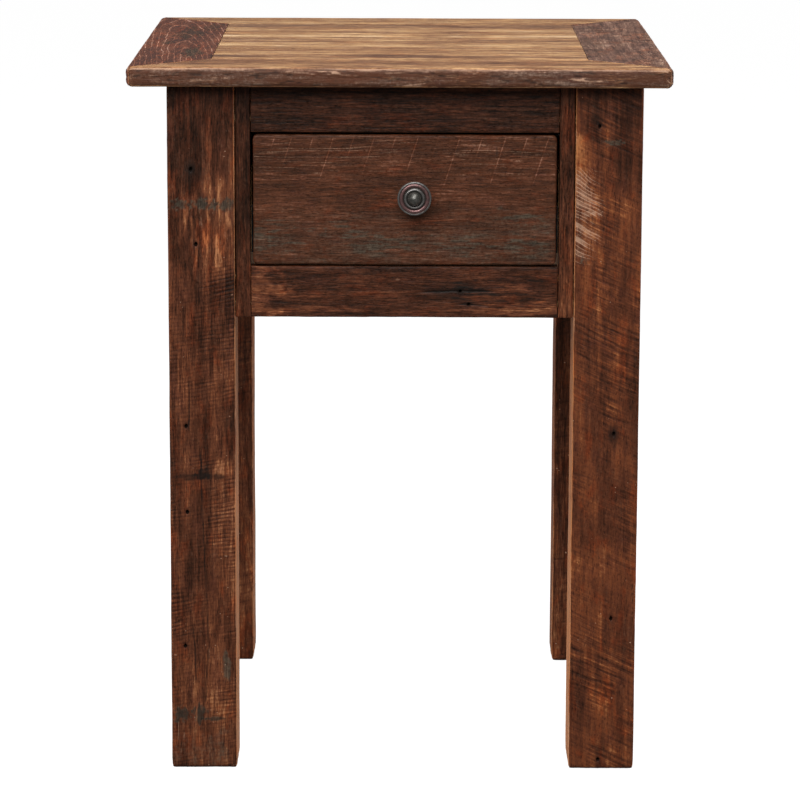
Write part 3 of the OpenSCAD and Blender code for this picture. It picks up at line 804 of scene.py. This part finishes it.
def plank(node, low_y, high_y, seed, bands):
    """A centre plank, as far as it shows: its tongues are inside the joints. Each of its bands is a place
    across it, half a width and a change of tone."""
    low, high = cad_box_mm(node)
    board = Board((-TOP_INNER, low_y, low[Z]), (TOP_INNER, high_y, high[Z]), X, arris=0.25, thickness_axis=Z)
    board.straight_rings(5, 0.6, seed)
    board.tint("tone", 0.20, 6, 90, seed + 1)
    board.tint("tone", 0.12, 2.2, 50, seed + 2)
    board.tint("grey", 0.20, 6, 90, seed + 3)
    for k, (place, half_width, amount) in enumerate(bands):
        board.band("tone", place, half_width, amount, seed + 7 + 2 * k)
        board.band("grey", place, half_width, max(0.0, -1.5 * amount), seed + 7 + 2 * k)
    board.waves(0.2, 24, 140, seed + 4)
    board.ridges(0.12, 2.4, seed + 5)
    board.wear_arrises(0.15, 1.0, seed + 6, paleness=0.5)
    return board


def gold_wood(name, seed, base=0.5):
    """The tan wood of the planks and of the front and back borders, in short streaks."""
    grain = {"streak": 0.9, "streak_length": 9, "fibre": 0.9, "thread": 1.2, "ring": -0.05}
    hue = {"warm": 0.25, "cool": 0.7, "grey_colour": srgb(112, 94, 82)}
    return wood(name, GOLD_TONES, X, seed, base=base, specks=0.0, **grain, **hue)


def make_top():
    front_wood = gold_wood("front_border_wood", 61, base=0.40)
    front_border().piece("top_border_front", "table", front_wood, "border_wood")
    back_wood = gold_wood("back_border_wood", 62)
    back_border().piece("top_border_back", "table", back_wood, "border_wood", turn=180)
    left_wood = wood(
        "left_border_wood", LEFT_BORDER_TONES, Y, 63, ring=0.36, ring_width=0.22, blotch=0.7, cool=0.3
    )
    left_border().piece("top_border_left", "table", left_wood, "border_wood", turn=270)
    cross_cut = lean_of(0.25, Z)
    right_wood = wood(
        "right_border_wood", RIGHT_BORDER_TONES, Y, 64, stroke=0.8, scratch=1.3, lean=cross_cut, blotch=0.7
    )
    right_border().piece("top_border_right", "table", right_wood, "border_wood", turn=90)
    planks = {
        "front": ((-98, 5, -0.12), (-148, 15, -0.20), (-170, 6, 0.10)),
        "middle": ((14, 9, -0.16), (-6, 9, -0.14), (-44, 19, 0.16), (-70, 5, -0.08)),
        "back": ((36, 5, -0.12), (50, 12, 0.26), (92, 9, -0.08), (114, 8, 0.16), (160, 26, -0.20)),
    }
    edges = (-TOP_INNER, *PLANK_JOINTS, TOP_INNER)
    for k, (place, bands) in enumerate(planks.items()):
        node = f"top_plank_{place}"
        board = plank(node, edges[k], edges[k + 1], 70 + 20 * k, bands)
        if place == "back":  # a pale streak, partly bleached wood and partly a painted highlight
            board.patch("raw_and_sheen", 48, -75, 3.5, 38, 0.8, seed=91, edge=0.5, side="top")
        board.piece(node, "table", gold_wood(f"{place}_plank_wood", 65 + k), "plank_wood")


# ---------------------------------------------------------------- the legs


def leg(node, close_lines=(), coarse=1.0):
    """A leg with the edges of its foot worn round."""
    low, high = cad_box_mm(node)
    board = Board(low, high, Z, arris=1.8, close_lines=close_lines, coarse=coarse)
    near_foot = np.exp(-(((board.rest[:, Z] - low[Z]) / 6) ** 2)) * np.exp(-((board.from_arris / 3) ** 2))
    board.height -= 1.6 * near_foot
    return board


def hole_lines(holes, across_axis, along_axis):
    """Close grid lines over each nail hole, so that its rim is round."""
    spread = (-1.6, -0.9, 0.0, 0.9, 1.6)
    return [(across_axis, hole[0] + gap) for hole in holes for gap in spread] + [
        (along_axis, hole[1] + gap) for hole in holes for gap in spread
    ]


def leg_wear_and_painted_light(board, seed, raw_and_sheen, ring_pitch=6):
    """What every leg has: rings, wear, and a foot painted paler, as painted light where less light reaches
    low down.
    """
    board.straight_rings(ring_pitch, 0.7, seed)
    board.tint("tone", 0.16, 9, 70, seed + 1)
    board.tint("tone", 0.10, 2.5, 40, seed + 2)
    board.tint("grey", 0.16, 7, 60, seed + 3)
    board.waves(0.3, 18, 110, seed + 4)
    board.ridges(0.16, 2.4, seed + 5)
    board.wear_arrises(0.9, 1.8, seed + 6, paleness=raw_and_sheen)
    # Painted light: paler towards the foot, to make up for the weaker light near the floor.
    board.fields["tone"] += 0.07 * smooth_step(330, 120, board.rest[:, Z])


LEFT_LEG_HOLES = ((-195.0, 582.0), (-190.7, 511.0), (-201.3, 337.0), (-200.6, 253.5), (-203.5, 122.0))

# The marks on the left leg's front. Each is its field, its middle across and along, half its size across
# and along, its amount, its seed and, if it isn't the usual, how ragged its outline is.
LEFT_LEG_MARKS = (
    ("tone", -170, 590, 16, 50, 0.08, 1),
    ("tone", -200, 590, 20, 44, -0.20, 2),
    ("stain", -194, 577, 15, 13, 0.3, 2, 0.7),
    ("tone", -214, 618, 4, 24, 0.24, 2),
    ("tone", -171, 530, 17, 50, 0.20, 3),
    ("tone", -204, 520, 14, 34, -0.10, 3),
    ("tone", -167, 365, 12, 55, 0.14, 8),
    ("stain", -190, 310, 22, 34, 0.22, 8, 0.7),
    ("stain", -188, 288, 40, 3.5, 0.5, 9, 0.3),
    ("stain", -185, 292, 8, 6, 0.5, 10, 0.7),
    ("tone", -166, 296, 10, 9, 0.25, 10),
    ("stain", -163, 335, 3, 30, 0.45, 11, 0.6),
    ("tone", -171, 85, 13, 50, 0.18, 12),
    ("grey", -163.5, 104, 4.5, 16, 0.95, 13, 0.4),
    ("raw_and_sheen", -176, 115, 8, 6, 0.35, 14, 0.8),
    ("grey", -188, 14, 30, 20, 0.35, 17, 0.8),
)


def front_left_leg():
    """Dark at its top, with a grey green strap mark, bleached streaks under it, fine saw strokes that rise to
    the right, and a long wandering crack."""
    board = leg("leg_front_left", hole_lines(LEFT_LEG_HOLES, X, Z))
    leg_wear_and_painted_light(board, 100, raw_and_sheen=0.35, ring_pitch=3)
    # Painted sheen on its inner side.
    board.paint_side_sheen("right", 0.5)
    height = board.rest[:, Z]
    fine = smooth_step(505, 470, height)
    board.saw_strokes("front", 3.8, 0.16, 0.1 + 0.9 * fine, 110)
    for side in ("left", "right", "back"):
        board.saw_strokes(side, 4.6, 0.18, 0.7, 113)
    # Darker from about 470 mm up, partly its own darker wood and partly painted shade; darker again from
    # about 590 mm up, painted shade under the table top.
    board.fields["tone"] -= 0.07 * smooth_step(430, 500, height) + 0.14 * smooth_step(590, 635, height)
    for mark in LEFT_LEG_MARKS:
        board.patch(*mark)
    board.streaks("raw_and_sheen", -168, 532, 18, 44, 0.62, 1.8, 4)
    board.streaks("raw_and_sheen", -195, 538, 20, 24, 0.55, 1.8, 5)
    board.streaks("tone", -178, 525, 34, 60, 0.30, 2.2, 6)
    for across, half_across, amount in ((-205, 10, 0.8), (-184, 7, 0.9), (-173, 4, 1.1), (-162, 8, 1.0)):
        board.patch("grey", across, 549, half_across, 5.5, amount, seed=6, edge=0.9)
        board.patch("stain", across, 549, half_across, 5, 0.5, seed=7, edge=1.0)
    for across, along, half_across, half_along in ((-207, 55, 8, 9), (-190, 53, 6, 11), (-177, 50, 12, 1.8)):
        board.patch("grey", across, along, half_across, half_along, 0.8, seed=15, edge=0.8)
        board.patch("stain", across, along, half_across, half_along, 0.55, seed=15, edge=0.8)
    board.streaks("raw_and_sheen", -210, 34, 7, 30, 0.5, 2.0, 16)
    board.crack("front", ((405, -197.5), (365, -197.5), (330, -199)), 0.7, 0.8)
    board.crack("front", ((320, -188), (225, -185.5), (155, -182.5), (125, -181.5), (58, -185)))
    board.crack("front", ((150, -196), (80, -193)), 0.7, 0.6)
    for across, along in LEFT_LEG_HOLES:
        board.nail_hole("front", across, along)
    return board


RIGHT_LEG_HOLES = ((186.5, 623.5), (203.8, 331.0), (203.6, 150.5), (193.0, 10.5))

# The marks on the right leg's front, written in the same way.
RIGHT_LEG_MARKS = (
    ("tone", 167, 592, 18, 34, 0.24, 21),
    ("tone", 190, 530, 26, 40, 0.12, 21),
    ("tone", 217, 600, 12, 60, -0.10, 22),
    ("raw_and_sheen", 178, 541, 12, 3, 0.6, 23, 0.6),
    ("stain", 186, 632, 8, 9, 0.35, 24),
    ("grey", 199, 608, 9, 3, 0.8, 25, 0.7),
    ("grey", 172.5, 498, 3.5, 4, 0.9, 26, 0.7),
    ("stain", 186, 380, 22, 10, 0.25, 27, 0.7),
    ("stain", 204, 332, 7, 14, 0.4, 28, 0.6),
    ("stain", 198, 76, 18, 4, 0.35, 29, 0.7),
    ("stain", 193, 22, 9, 6, 0.45, 30, 0.7),
)


def front_right_leg():
    """Redder, with coarse saw strokes that fall to the right and a torn, pale left arris near its top."""
    board = leg("leg_front_right", hole_lines(RIGHT_LEG_HOLES, X, Z))
    leg_wear_and_painted_light(board, 200, raw_and_sheen=0.25)
    across, along, front = board.side("front")
    board.saw_strokes("front", 5.6, -0.45, 0.9, 210, depth=0.06)
    for side in ("left", "right", "back"):
        board.saw_strokes(side, 5.2, -0.25, 0.6, 213)
    # Painted sheen on its inner side.
    board.paint_side_sheen("left", 0.5)
    slanted = along + 0.5 * across + 5 * noise(board.rest, (14, 14, 14), 214)
    board.fields["rings"] = np.where(front > 0.5, slanted / 3.4, board.fields["rings"])
    # Darker near its top, from about 600 mm up: painted shade under the table top.
    board.fields["tone"] -= 0.12 * smooth_step(600, 640, along) * front
    for mark in RIGHT_LEG_MARKS:
        board.patch(*mark)
    torn = front * smooth_step(204, 160, across) * smooth_step(480, 515, along) * smooth_step(600, 560, along)
    teeth = layered_noise(np.stack([slanted, across / 6, along / 6], axis=1), (5, 5, 5), 215, layers=2)
    board.height -= 0.7 * torn * np.clip(teeth + 0.2, 0, 1.5)
    board.fields["raw_and_sheen"] += torn * (0.8 + 1.1 * teeth)
    board.fields["stain"] += 0.25 * torn * smooth_step(0.3, 0.9, -teeth)
    for place in ((193, 197), (197, 217), (171, 207), (196, 292), (214, 262), (198, 60)):
        board.patch("tone", *place, 6, 6, 0.09, seed=31, edge=0.8)
    for across, along in RIGHT_LEG_HOLES:
        board.nail_hole("front", across, along, radius=1.4, halo=6.0)
    return board


def back_leg(node, seed, inner_side):
    """Sawn on every side, with a nail hole and a crack on each but the front."""
    board = leg(node, coarse=1.15)
    leg_wear_and_painted_light(board, seed, raw_and_sheen=0.3)
    # Painted sheen on its inner side.
    board.paint_side_sheen(inner_side, 0.3)
    strokes = (("front", 4.6, 0.2), ("back", 5.4, -0.3), ("left", 4.2, 0.15), ("right", 4.8, -0.2))
    for side, pitch, slope in strokes:
        board.saw_strokes(side, pitch, slope, 0.6, seed + 10)
    for k, (side, across) in enumerate((("back", 12), ("left", 25), ("right", 40))):
        middle = board.low[X if side == "back" else Y] + across
        board.nail_hole(side, middle, 210 + 150 * k)
        board.crack(side, ((60 + 40 * k, middle + 9), (180, middle + 6), (330, middle + 10)), 0.8, 1.4)
    return board


def make_legs():
    sawn = {"stroke": 0.22, "even_strokes": True, "scratch": 1.0, "lean": lean_of(0.16, Y)}
    left_wood = wood("front_left_leg_wood", LEG_TONES, Z, 301, streak=0.42, thread=0.55, specks=0.7, **sawn)
    front_left_leg().piece("leg_front_left", "table", left_wood, "leg_wood")
    grain = {"streak": 0.22, "fibre": 0.3, "thread": 0.2, "blotch": 0.7, "ring": 0.0}
    sawn = {"stroke": 0.5, "scratch": 1.2, "lean": lean_of(-0.45, Y)}
    right_wood = wood("front_right_leg_wood", RED_LEG_TONES, Z, 302, **grain, **sawn)
    front_right_leg().piece("leg_front_right", "table", right_wood, "leg_wood")
    for k, (hand, inner_side, base) in enumerate((("left", "right", 0.53), ("right", "left", 0.46))):
        node = f"leg_back_{hand}"
        back_wood = wood(f"back_{hand}_leg_wood", LEG_TONES, Z, 303 + k, base=base)
        back_leg(node, 320 + 20 * k, inner_side).piece(node, "table", back_wood, "leg_wood")


# ---------------------------------------------------------------- the face frame and aprons


def make_face_frame():
    for k, (node, grain, base) in enumerate(
        (
            ("face_stile_left", Z, 0.22),
            ("face_stile_right", Z, 0.37),
            # The top rail's dark base is partly its own darker wood and partly painted shade under the table
            # top.
            ("face_rail_top", X, 0.25),
            ("face_rail_bottom", X, 0.36),
        )
    ):
        seed = 400 + 20 * k
        low, high = cad_box_mm(node)
        holes = RAIL_HOLES if node == "face_rail_bottom" else ()
        board = Board(low, high, grain, arris=0.9, close_lines=hole_lines(holes, Z, X))
        board.straight_rings(4, 0.6, seed)
        board.tint("tone", 0.12, 5, 70, seed + 1)
        board.tint("grey", 0.12, 6, 60, seed + 2)
        board.waves(0.15, 16, 110, seed + 3)
        board.ridges(0.14, 1.8, seed + 4)
        board.wear_arrises(0.5, 1.4, seed + 5, paleness=0.3)
        if node == "face_rail_bottom":
            mark_bottom_rail(board)
        elif grain == Z:
            # The stiles are darker towards their tops: painted shade under the table top.
            board.fields["tone"] += 0.22 * smooth_step(560, 450, board.rest[:, Z])
        material = wood(node + "_wood", LEG_TONES, grain, seed + 6, base=base, streak=0.4, specks=0.0)
        board.piece(node, "table", material, "frame_wood")


RAIL_HOLES = ((466.5, 57.5), (454.0, 65.5))

# The marks on the rail under the drawer, written in the same way.
RAIL_MARKS = (
    ("tone", 470, -132, 26, 20, 0.28, 41, 0.8),
    ("tone", 448, -90, 5, 50, 0.2, 42, 0.8),
    ("tone", 448, 110, 5, 50, 0.2, 42, 0.8),
    ("stain", 467, 55, 9, 34, 0.45, 45),
    ("raw_and_sheen", 477.5, -2, 1.6, 3, 0.8, 46),
)


def mark_bottom_rail(board):
    """Nail holes in a crack, an orange left end and dark and orange streaks at the right."""
    for mark in RAIL_MARKS:
        board.patch(*mark)
    board.streaks("stain", 468, 95, 24, 60, 0.7, 2.2, 43)
    board.streaks("tone", 460, 120, 26, 40, 0.28, 2.0, 44)
    board.crack("front", ((15, 465.5), (58, 466.5), (95, 466)), 0.7, 1.2)
    board.crack("front", ((48, 453.5), (65, 454), (90, 452)), 0.6, 0.9)
    for across, along in RAIL_HOLES:
        board.nail_hole("front", across, along, radius=1.2, halo=3.5)


def make_aprons():
    for k, (node, axis, sides) in enumerate(
        (
            ("side_apron_left", Y, ("left", "right")),
            ("side_apron_right", Y, ("right", "left")),
            ("back_apron", X, ("back", "front")),
        )
    ):
        seed = 500 + 20 * k
        low, high = cad_box_mm(node)
        tenon = 20.0
        low[axis] += tenon
        high[axis] -= tenon
        board = Board(low, high, axis, arris=0.9, coarse=1.3)
        board.straight_rings(7, 0.6, seed)
        board.tint("tone", 0.18, 12, 120, seed + 1)
        board.tint("tone", 0.10, 3, 60, seed + 2)
        board.tint("grey", 0.2, 12, 90, seed + 3)
        board.waves(0.3, 30, 120, seed + 4)
        board.ridges(0.16, 2.6, seed + 5)
        board.wear_arrises(0.6, 1.6, seed + 6, paleness=0.3)
        for side in sides:
            board.saw_strokes(side, 6.2, 0.22 - 0.1 * k, 0.75, seed + 8)
        reach = high[axis] - low[axis]
        middle = (low[axis] + high[axis]) / 2
        for hole, (height, share) in enumerate(((620, -0.32), (520, 0.12), (470, 0.38))):
            board.nail_hole(sides[0], height - 9 * k, middle + share * reach + 7 * hole)
        path = ((0.15, 560), (0.45, 556), (0.70, 561))
        board.crack(sides[0], [(low[axis] + share * reach, height) for share, height in path], 0.8, 1.5)
        material = wood(node + "_wood", LEG_TONES, axis, seed + 10, base=0.46)
        board.piece(node, "table", material, "frame_wood")


# ---------------------------------------------------------------- the drawer

# The slanted scratches of the drawer front: where each meets SCRATCH_HEIGHT, and how far down it reaches.
# The first and last only bound the others.
SCRATCH_HEIGHT = 590
SCRATCH_SLANT = 0.33
SCRATCHES = (
    (-143, -20), (-124, 15), (-108, 26), (-88, 12), (-69, 41), (-50, 20), (-31, 33), (-11, 14),
    (10, 33), (29, 20), (49, 48), (70, 22), (92, 46), (112, 20), (132, 46), (152, -20),
)


def scratch_front(board):
    """Slanted saw scratches from the drawer front's upper edge. Each is a whole step of the saw count, so
    that the material draws it as a fine line."""
    across, along, front = board.side("front")
    places = np.array([place for place, _ in SCRATCHES])
    reaches = np.array([reach for _, reach in SCRATCHES])
    count = np.interp(along - SCRATCH_SLANT * (across - SCRATCH_HEIGHT), places, np.arange(len(places)) + 0.5)
    reach = reaches[np.clip(np.floor(count).astype(int), 0, len(places) - 1)]
    drop = board.high[Z] - across
    board.fields["saw"] = count
    board.fields["saw_depth"] = front * smooth_step(reach + 8, reach - 10, drop) * smooth_step(1, 5, drop)


def make_drawer_front():
    """Fine pale streaks along the grain, slanted saw scratches in the upper half and grey patches below."""
    low, high = cad_box_mm("drawer_front")
    board = Board(low, high, X, arris=2.4, corner=5.0, thickness_axis=Y)
    board.straight_rings(1.7, 0.5, 601)
    board.tint("tone", 0.10, 6, 70, 602)
    board.tint("tone", 0.07, 1.6, 34, 603)
    board.waves(0.25, 20, 120, 604)
    board.ridges(0.12, 1.7, 605)
    board.wear_arrises(0.35, 2.2, 606, paleness=0.35)
    scratch_front(board)
    across, _, front = board.side("front")
    upper = smooth_step(555, 585, across)
    lines = layered_noise(board.rest, board.cell(3, 30), 607)
    board.fields["raw_and_sheen"] += front * upper * (0.24 + 0.22 * lines)
    # A faint painted highlight along the drawer front's upper arris.
    painted_arris_highlight = smooth_step(0.3, 0.6, board.normals[:, Z]) * smooth_step(0.99, 0.8, board.normals[:, Z])
    board.fields["tone"] += 0.04 * painted_arris_highlight
    for side_along, side_across, half_along, half_across in (
        (-116, 518, 34, 22),
        (-62, 526, 30, 18),
        (-20, 512, 44, 14),
        (60, 510, 60, 13),
        (124, 514, 26, 24),
        (112, 540, 30, 12),
    ):
        board.streaks("grey", side_across, side_along, half_across, half_along, 0.85, 2.0, 50)
    worn = layered_noise(board.rest, board.cell(7, 40), 608)
    board.fields["grey"] += front * smooth_step(556, 526, across) * (0.26 + 0.25 * worn)
    board.patch("stain", 530, 20, 14, 60, 0.15, seed=51)
    board.patch("stain", 598.5, 91, 6, 1.4, 0.6, seed=52, edge=0.1)
    grain = {"streak": 0.35, "fibre": 0.42, "ring": 0.08, "ring_width": 0.4}
    scratches = {"stroke": -0.26, "stroke_width": 0.11, "even_strokes": True, "scratch": 0.0}
    material = wood("drawer_front_wood", DRAWER_TONES, X, 611, specks=0.0, **grain, **scratches)
    board.piece("drawer_front", "drawer", material, "drawer_wood")


# ---------------------------------------------------------------- everything that keeps its CAD shape


def paint(material, slot, *nodes):
    for node in nodes:
        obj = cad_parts[node]
        obj.data.materials.clear()
        obj.data.materials.append(material)


def plain_wood(name, grain, seed, **more):
    """The pale wood of the drawer box and the hidden boards, without marks from a mesh."""
    return wood(name, BOX_TONES, grain, seed, marked=False, **more)


def paint_hidden_boards():
    ends = plain_wood("drawer_ends_wood", X, 701, streak=0.6, fibre=0.45)
    sides = plain_wood("drawer_sides_wood", Y, 702, streak=0.6, fibre=0.45)
    paint(ends, "box_wood", "drawer_box_front", "drawer_back", "drawer_bottom")
    paint(sides, "box_wood", "drawer_side_left", "drawer_side_right")
    cleats = plain_wood("cleat_wood", Y, 703, base=0.35)
    paint(cleats, "box_wood", "slide_cleat_left", "slide_cleat_right")
    blocks = plain_wood("block_wood", X, 704, base=0.35)
    corners = [f"corner_block_{end}_{hand}" for end in ("front", "back") for hand in ("left", "right")]
    paint(blocks, "box_wood", *corners)
    paint(plain_wood("joint_wood", Z, 705), "box_wood", "top_mitre_splines", "rail_dowels")


def paint_hardware():
    steel = metal("slide_black_steel", srgb(34, 34, 36), srgb(74, 74, 76), 0.38, 711, metallic=0.4)
    for hand in ("left", "right"):
        paint(steel, "slide_steel", f"slide_outer_{hand}", f"slide_middle_{hand}", f"slide_inner_{hand}")
    balls = metal("bearing_steel", srgb(190, 192, 194), srgb(150, 148, 142), 0.2, 712, wear=0.2)
    cages = [f"ball_cage_{part}_{hand}" for part in ("outer", "inner") for hand in ("left", "right")]
    paint(balls, "bearing_steel", *cages)
    screws = metal("screw_zinc", srgb(178, 164, 118), srgb(120, 104, 74), 0.36, 713)
    held = ("corner_block", "top", "cleat", "slide_cabinet", "slide_drawer", "drawer_front")
    paint(screws, "screw_steel", *(f"{part}_screws" for part in held), "knob_screw")
    paint(rubber("bumper_rubber"), "bumper_rubber", "slide_bumpers")
    paint(bronze("knob_bronze", "knob"), "knob_bronze", "knob")


# ---------------------------------------------------------------- studio


def make_floor():
    """A white floor that glows a little where the camera sees it, so that shadows on it stay faint."""
    g = Graph("floor_white")
    seen = g.node("LightPath").outputs["Is Camera Ray"]
    material = g.principled(
        Base_Color=(0.18, 0.18, 0.18, 1),
        Roughness=1.0,
        Specular_IOR_Level=0.0,
        Emission_Color=(1, 1, 1, 1),
        Emission_Strength=g.product(seen, 0.95),
    )
    bpy.ops.mesh.primitive_plane_add(size=40)
    floor = bpy.context.object
    floor.name = "studio_floor"
    floor.data.materials.append(material)


def area_light(name, place, target, size, power, mirrored=True):
    """A soft box. One that isn't mirrored lights the table without a gloss of its own."""
    light = bpy.data.lights.new(name, "AREA")
    light.shape = "RECTANGLE"
    light.size, light.size_y = size
    light.energy = power
    obj = bpy.data.objects.new(name, light)
    bpy.context.scene.collection.objects.link(obj)
    obj.visible_glossy = mirrored
    obj.location = place
    obj.rotation_mode = "QUATERNION"
    obj.rotation_quaternion = (Vector(target) - Vector(place)).to_track_quat("-Z", "Y")


def make_world(light_strength, seen_strength):
    """White all round: one strength lights the table, another is what the camera sees behind it."""
    world = bpy.data.worlds.new("studio_world")
    bpy.context.scene.world = world
    world.use_nodes = True
    nodes, links = world.node_tree.nodes, world.node_tree.links
    background = nodes["Background"]
    background.inputs["Color"].default_value = (1, 1, 1, 1)
    path = nodes.new("ShaderNodeLightPath")
    strength = nodes.new("ShaderNodeMapRange")
    links.new(path.outputs["Is Camera Ray"], strength.inputs["Value"])
    strength.inputs["To Min"].default_value = light_strength
    strength.inputs["To Max"].default_value = seen_strength
    links.new(strength.outputs["Result"], background.inputs["Strength"])


def make_camera():
    """Looks slightly down on the front from 3.6 m, with the photographer's long lens."""
    camera = bpy.data.cameras.new("camera")
    camera.sensor_width = 36.0
    camera.lens = 164.35
    camera.clip_start, camera.clip_end = 0.1, 100
    obj = bpy.data.objects.new("camera", camera)
    bpy.context.scene.collection.objects.link(obj)
    tilt_down, roll = math.radians(11.196), 0.0035
    obj.matrix_world = (
        Matrix.Translation((0.0012, -3.6152, 1.0333))
        @ Matrix.Rotation(math.radians(90) - tilt_down, 4, "X")
        @ Matrix.Rotation(roll, 4, "Z")
    )
    bpy.context.scene.camera = obj


def make_studio():
    make_floor()
    make_camera()
    make_world(light_strength=0.22, seen_strength=1.2)
    area_light("top_softbox", (0.2, -0.9, 3.0), (0, 0, 0.5), (2.0, 1.6), 46)
    area_light("front_softbox", (-0.5, -2.8, 2.2), (0, 0, 0.25), (2.4, 1.6), 100)
    area_light("left_softbox", (-2.2, 0.3, 0.8), (0, 0, 0.35), (1.6, 1.2), 60, mirrored=False)
    area_light("right_softbox", (2.2, 0.3, 0.8), (0, 0, 0.35), (1.6, 1.2), 60, mirrored=False)
    bpy.context.scene.view_settings.view_transform = "Standard"


make_studio()
make_top()
make_legs()
make_face_frame()
make_aprons()
make_drawer_front()
paint_hidden_boards()
paint_hardware()
